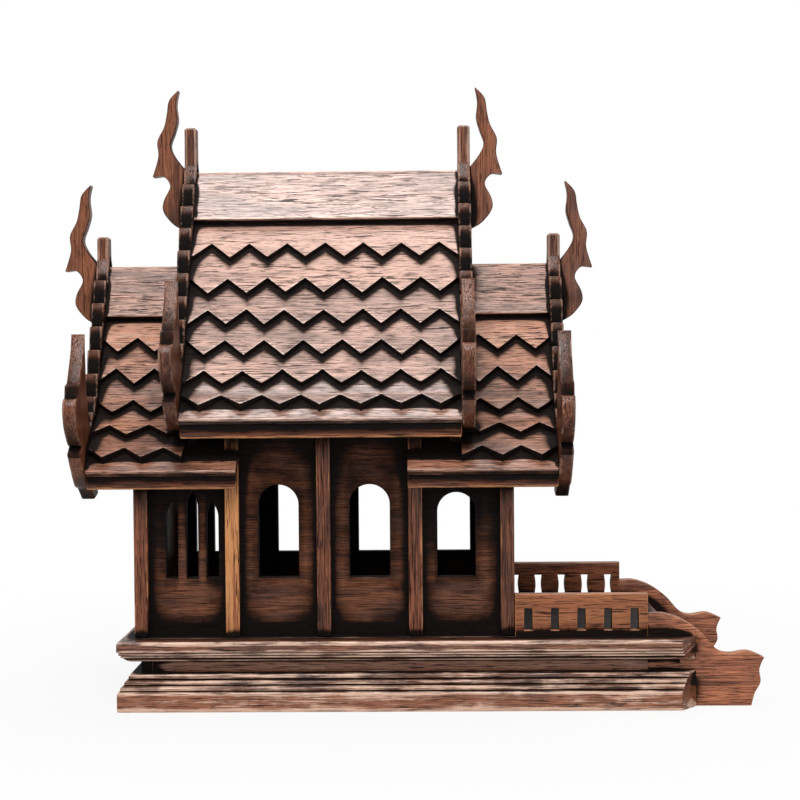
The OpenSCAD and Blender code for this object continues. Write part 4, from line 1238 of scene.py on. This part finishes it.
def mesh_triangles(mesh):
    """The mesh as triangles in cube units, shifted a hair so that no upright line meets a corner."""
    mesh.calc_loop_triangles()
    corners = np.empty(len(mesh.loop_triangles) * 3, np.int32)
    mesh.loop_triangles.foreach_get("vertices", corners)
    return (mesh_points(mesh)[0][corners].reshape(-1, 3, 3) - GRID_LOW) / CELL + OFF_CORNERS


print("triangles to cross:", sum(len(mesh_triangles(o.data)) for o in OBJECTS.values()))

# %% Wood around every point
SCALES = ((3, 6.0), (1, 2.4), (7, 13.0))
hits = column_hits(np.vstack([mesh_triangles(o.data) for o in OBJECTS.values()]))
hits = hits[np.all((hits[:, :3] >= 0) & (hits[:, :3] < GRID_SIZE), axis=1)]
flat = np.ravel_multi_index(hits[:, :3].T, GRID_SIZE)
wood = np.bincount(flat, hits[:, 3], minlength=int(np.prod(GRID_SIZE))).astype(np.int8).reshape(GRID_SIZE)
wood = (np.cumsum(wood, axis=2, dtype=np.int8) > 0).astype(np.float32)
fields = [box_blur(wood, reach) for reach, _ in SCALES]
print("wood fills", round(float(wood.mean()), 4), "of", wood.size, "cubes")

for obj in OBJECTS.values():
    points, normal = mesh_points(obj.data)
    values = np.column_stack([look_up(field, (points + normal * off * MM - GRID_LOW) / CELL - [0, 0, 0.5])
                              for field, (_, off) in zip(fields, SCALES)])
    store(obj.data, "crowd", values)
print("finish values set on", len(OBJECTS), "pieces")

# %% [markdown]
# ## Antiqued wood
#
# One recipe makes all the wood and seven sets of colours tell the boards apart. Long noise along the grain gives the
# bands, finer noise gives fibres, and a cut-off noise leaves short dark veins and specks. A picture of wood could be
# wrapped round each board instead, but noise never repeats and needs no file. The grain comes from stored board
# coordinates, so it follows each plank rather than the room.

# %% Marks of the grain
# Near black for stain and painted shade, then the colours of bare and of golden worn wood.
SHADE_AND_STAIN_BLACK, BARE, GOLDEN = (0.003, 0.0024, 0.0024, 1), (0.64, 0.40, 0.30, 1), (0.61, 0.27, 0.097, 1)


def attribute(tree, name):
    """A stored vector and its three parts."""
    vector = Wire.node(tree, "Attribute", output="Vector", attribute_name=name)
    return vector, [Wire.node(tree, "SeparateXYZ", {0: vector}, output=i) for i in range(3)]


def shade(colour, share):
    """A share of a colour, opaque."""
    return (*(share * c for c in colour[:3]), 1)


def grain_marks(grain, run):
    """Seven noises stretched along the board; run shortens the marks."""
    band = grain.noise((0.009, 0.17, 0.17), 3.0)
    fibre = grain.noise((0.035 * run, 1.7, 1.7), 4.0, 0.65)
    blotch = grain.noise((0.026, 0.05, 0.05), 2.0)
    patch = grain.noise((0.05, 0.1, 0.1), 4.0, 0.6)
    streak = grain.noise((0.014 * run, 0.4, 0.4), 4.0, 0.65)
    vein = (grain.noise((0.045 * run, 1.35, 1.35), 2.0, 0.5) + (band - 0.5) * 0.4).ramp(0.595, 0.63)
    speck = grain.noise((0.1 * run, 2.0, 2.0), 1.0).ramp(0.62, 0.65)
    return band, fibre, blotch, patch, streak, vein, speck


print("colours of soot, bare wood and golden wood set")

# %% [markdown]
# ## From grain to stained wood
#
# The marks choose between a light and a dark colour. Stain and painted shade then cover the crowded places, and
# rubbed edges go pale.
# A thin clear coat shines only where stain and painted shade are thin, and a slight bump lifts the fibres.
# Everything that varies ends in the shader's colour, roughness, coat or normal, so the export can bake it.

# %% Wood recipe
COAT_ROUGH, COAT_IOR, BUMP_STRENGTH, BUMP_DEEP = 0.27, 1.85, 0.8, 0.6 * MM


def wood_material(name, light, dark, worn=BARE, pale=0.6, crowd_shade_and_stain=1.0, coat=0.3, sheen=0.07, shift=0.0, rub=0.0, run=1.0,
                  veins=0.9):
    """Stained wood of two colours; pale and rub set wear, run shortens grain marks, crowd weight sets painted shade."""
    material = bpy.data.materials.new(name)
    material.use_nodes = True
    tree = material.node_tree
    grain, _ = attribute(tree, "grain")
    _, (edge, shade_and_stain, tone) = attribute(tree, "finish")
    _, (wide, near, deep) = attribute(tree, "crowd")
    band, fibre, blotch, patch, streak, vein, speck = grain_marks(grain, run)

    light_share = (band * 1.1 + fibre * 1.5 + blotch * 0.8 + tone * 0.3 + (shift - 1.2)).ramp(0.1, 0.95)
    colour = light_share.mix(shade(dark, 1.0), shade(light, 1.0))
    colour = (vein * veins).mix(colour, shade(dark, 0.35))
    colour = (speck * 0.8 * veins).mix(colour, shade(dark, 0.25))
    colour = (tone.ramp(1.2, 2.0) * streak.ramp(0.38, 0.58) * (1.0 - vein) * 0.85).mix(colour, worn)

    # Stain and painted shade: the crowd of wood round each point and the stored darkening turn the colour near black,
    # and stored values below zero paint light.
    shade_and_stain_mask = wide.ramp(0.15, 0.42) * 0.8 + near.ramp(0.2, 0.5) * 0.7 + deep.ramp(0.16, 0.46) * 0.7
    shade_and_stain_mask = (shade_and_stain_mask * crowd_shade_and_stain + shade_and_stain + (patch - 0.5) * 0.8 + (fibre - 0.5) * 0.3 - edge * 0.25).ramp(0.05, 0.85)
    colour = (shade_and_stain_mask * 0.98).mix(colour, SHADE_AND_STAIN_BLACK)
    rubbed = (edge * 1.05 + (patch + streak - 1.0) * 1.9 + (fibre - 0.5) * 1.4 - shade_and_stain_mask * 0.4 + rub).ramp(0.5, 1.1)
    colour = (rubbed * (1.0 - vein * 0.6) * pale).mix(colour, worn)

    rough = 0.3 + fibre * 0.24 + shade_and_stain_mask * 0.25 + rubbed * 0.12
    clear_of_shade_and_stain = (1.0 - shade_and_stain_mask).ramp(0.2, 1.0) * fibre.ramp(0.36, 0.6, 0.5)
    shine = clear_of_shade_and_stain * (1.0 - vein * 0.8) * (1.0 - speck * 0.7) * coat
    height = fibre * 0.7 - vein * 0.6 - speck * 0.6 + band * 0.3
    bump = Wire.node(tree, "Bump", {"Height": height, "Strength": BUMP_STRENGTH, "Distance": BUMP_DEEP})
    paint = tree.nodes["Principled BSDF"]
    for socket, value in (("Specular IOR Level", sheen), ("Coat Roughness", COAT_ROUGH), ("Coat IOR", COAT_IOR)):
        paint.inputs[socket].default_value = value
    for socket, wire in (("Base Color", colour), ("Roughness", rough), ("Normal", bump), ("Coat Weight", shine)):
        tree.links.new(wire.socket, paint.inputs[socket])
    return material


print("the recipe reads the stored values grain, finish and crowd")

# %% [markdown]
# ## Seven woods
#
# The main roof is rubbed palest and shines most, the walls and posts are a deep red brown, and the foot of the base is
# worn to bare wood. Each wood is one row of settings for the same recipe. A piece finds its wood by the words in its
# name, so a new board needs no new rule.

# %% Woods for the pieces
LOOKS = {
    "roof_wood": dict(light=(0.63, 0.36, 0.27), dark=(0.153, 0.078, 0.058), pale=0.8, coat=0.95, sheen=0.11, run=1.4,
                      veins=1.0),
    "lower_roof": dict(light=(0.52, 0.23, 0.137), dark=(0.085, 0.033, 0.020), pale=0.5, crowd_shade_and_stain=1.25, coat=0.4,
                       sheen=0.09, run=1.4, veins=1.0),
    "wall_wood": dict(light=(0.25, 0.080, 0.031), dark=(0.036, 0.011, 0.0056), worn=GOLDEN, pale=0.3, crowd_shade_and_stain=1.05,
                      coat=0.25, veins=0.6),
    "post_wood": dict(light=(0.28, 0.083, 0.033), dark=(0.034, 0.0098, 0.005), worn=GOLDEN, pale=0.5, veins=0.95),
    "trim_wood": dict(light=(0.26, 0.084, 0.036), dark=(0.036, 0.0115, 0.006), pale=0.4, shift=-0.04, veins=0.7),
    "base_wood": dict(light=(0.30, 0.101, 0.044), dark=(0.036, 0.0118, 0.006), worn=(0.76, 0.49, 0.36, 1), pale=0.9,
                      crowd_shade_and_stain=0.85, coat=0.55, sheen=0.1, rub=0.24),
    "string_wood": dict(light=(0.58, 0.20, 0.095), dark=(0.085, 0.027, 0.015), worn=GOLDEN, veins=0.75),
}
WOODS = {name: wood_material(name, **look) for name, look in LOOKS.items()}
WORDS = (("roof_wood", ("roof", "ridge_cap")), ("wall_wood", ("wall", "gable")),
         ("post_wood", ("post", "beam", "rail")), ("trim_wood", ("chofa", "finial", "barge")))


def wood_of(node):
    """The wood whose words are in the name of a piece."""
    return next((wood for wood, words in WORDS if any(word in node for word in words)), "base_wood")


for node, obj in OBJECTS.items():
    slot = wood_of(node)
    finish = "lower_roof" if slot == "roof_wood" and not node.startswith("main") else slot
    obj.data.materials.append(WOODS["string_wood" if "string" in node else finish])
    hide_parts(node)
    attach(obj, "root")
print("woods:", ", ".join(WOODS))
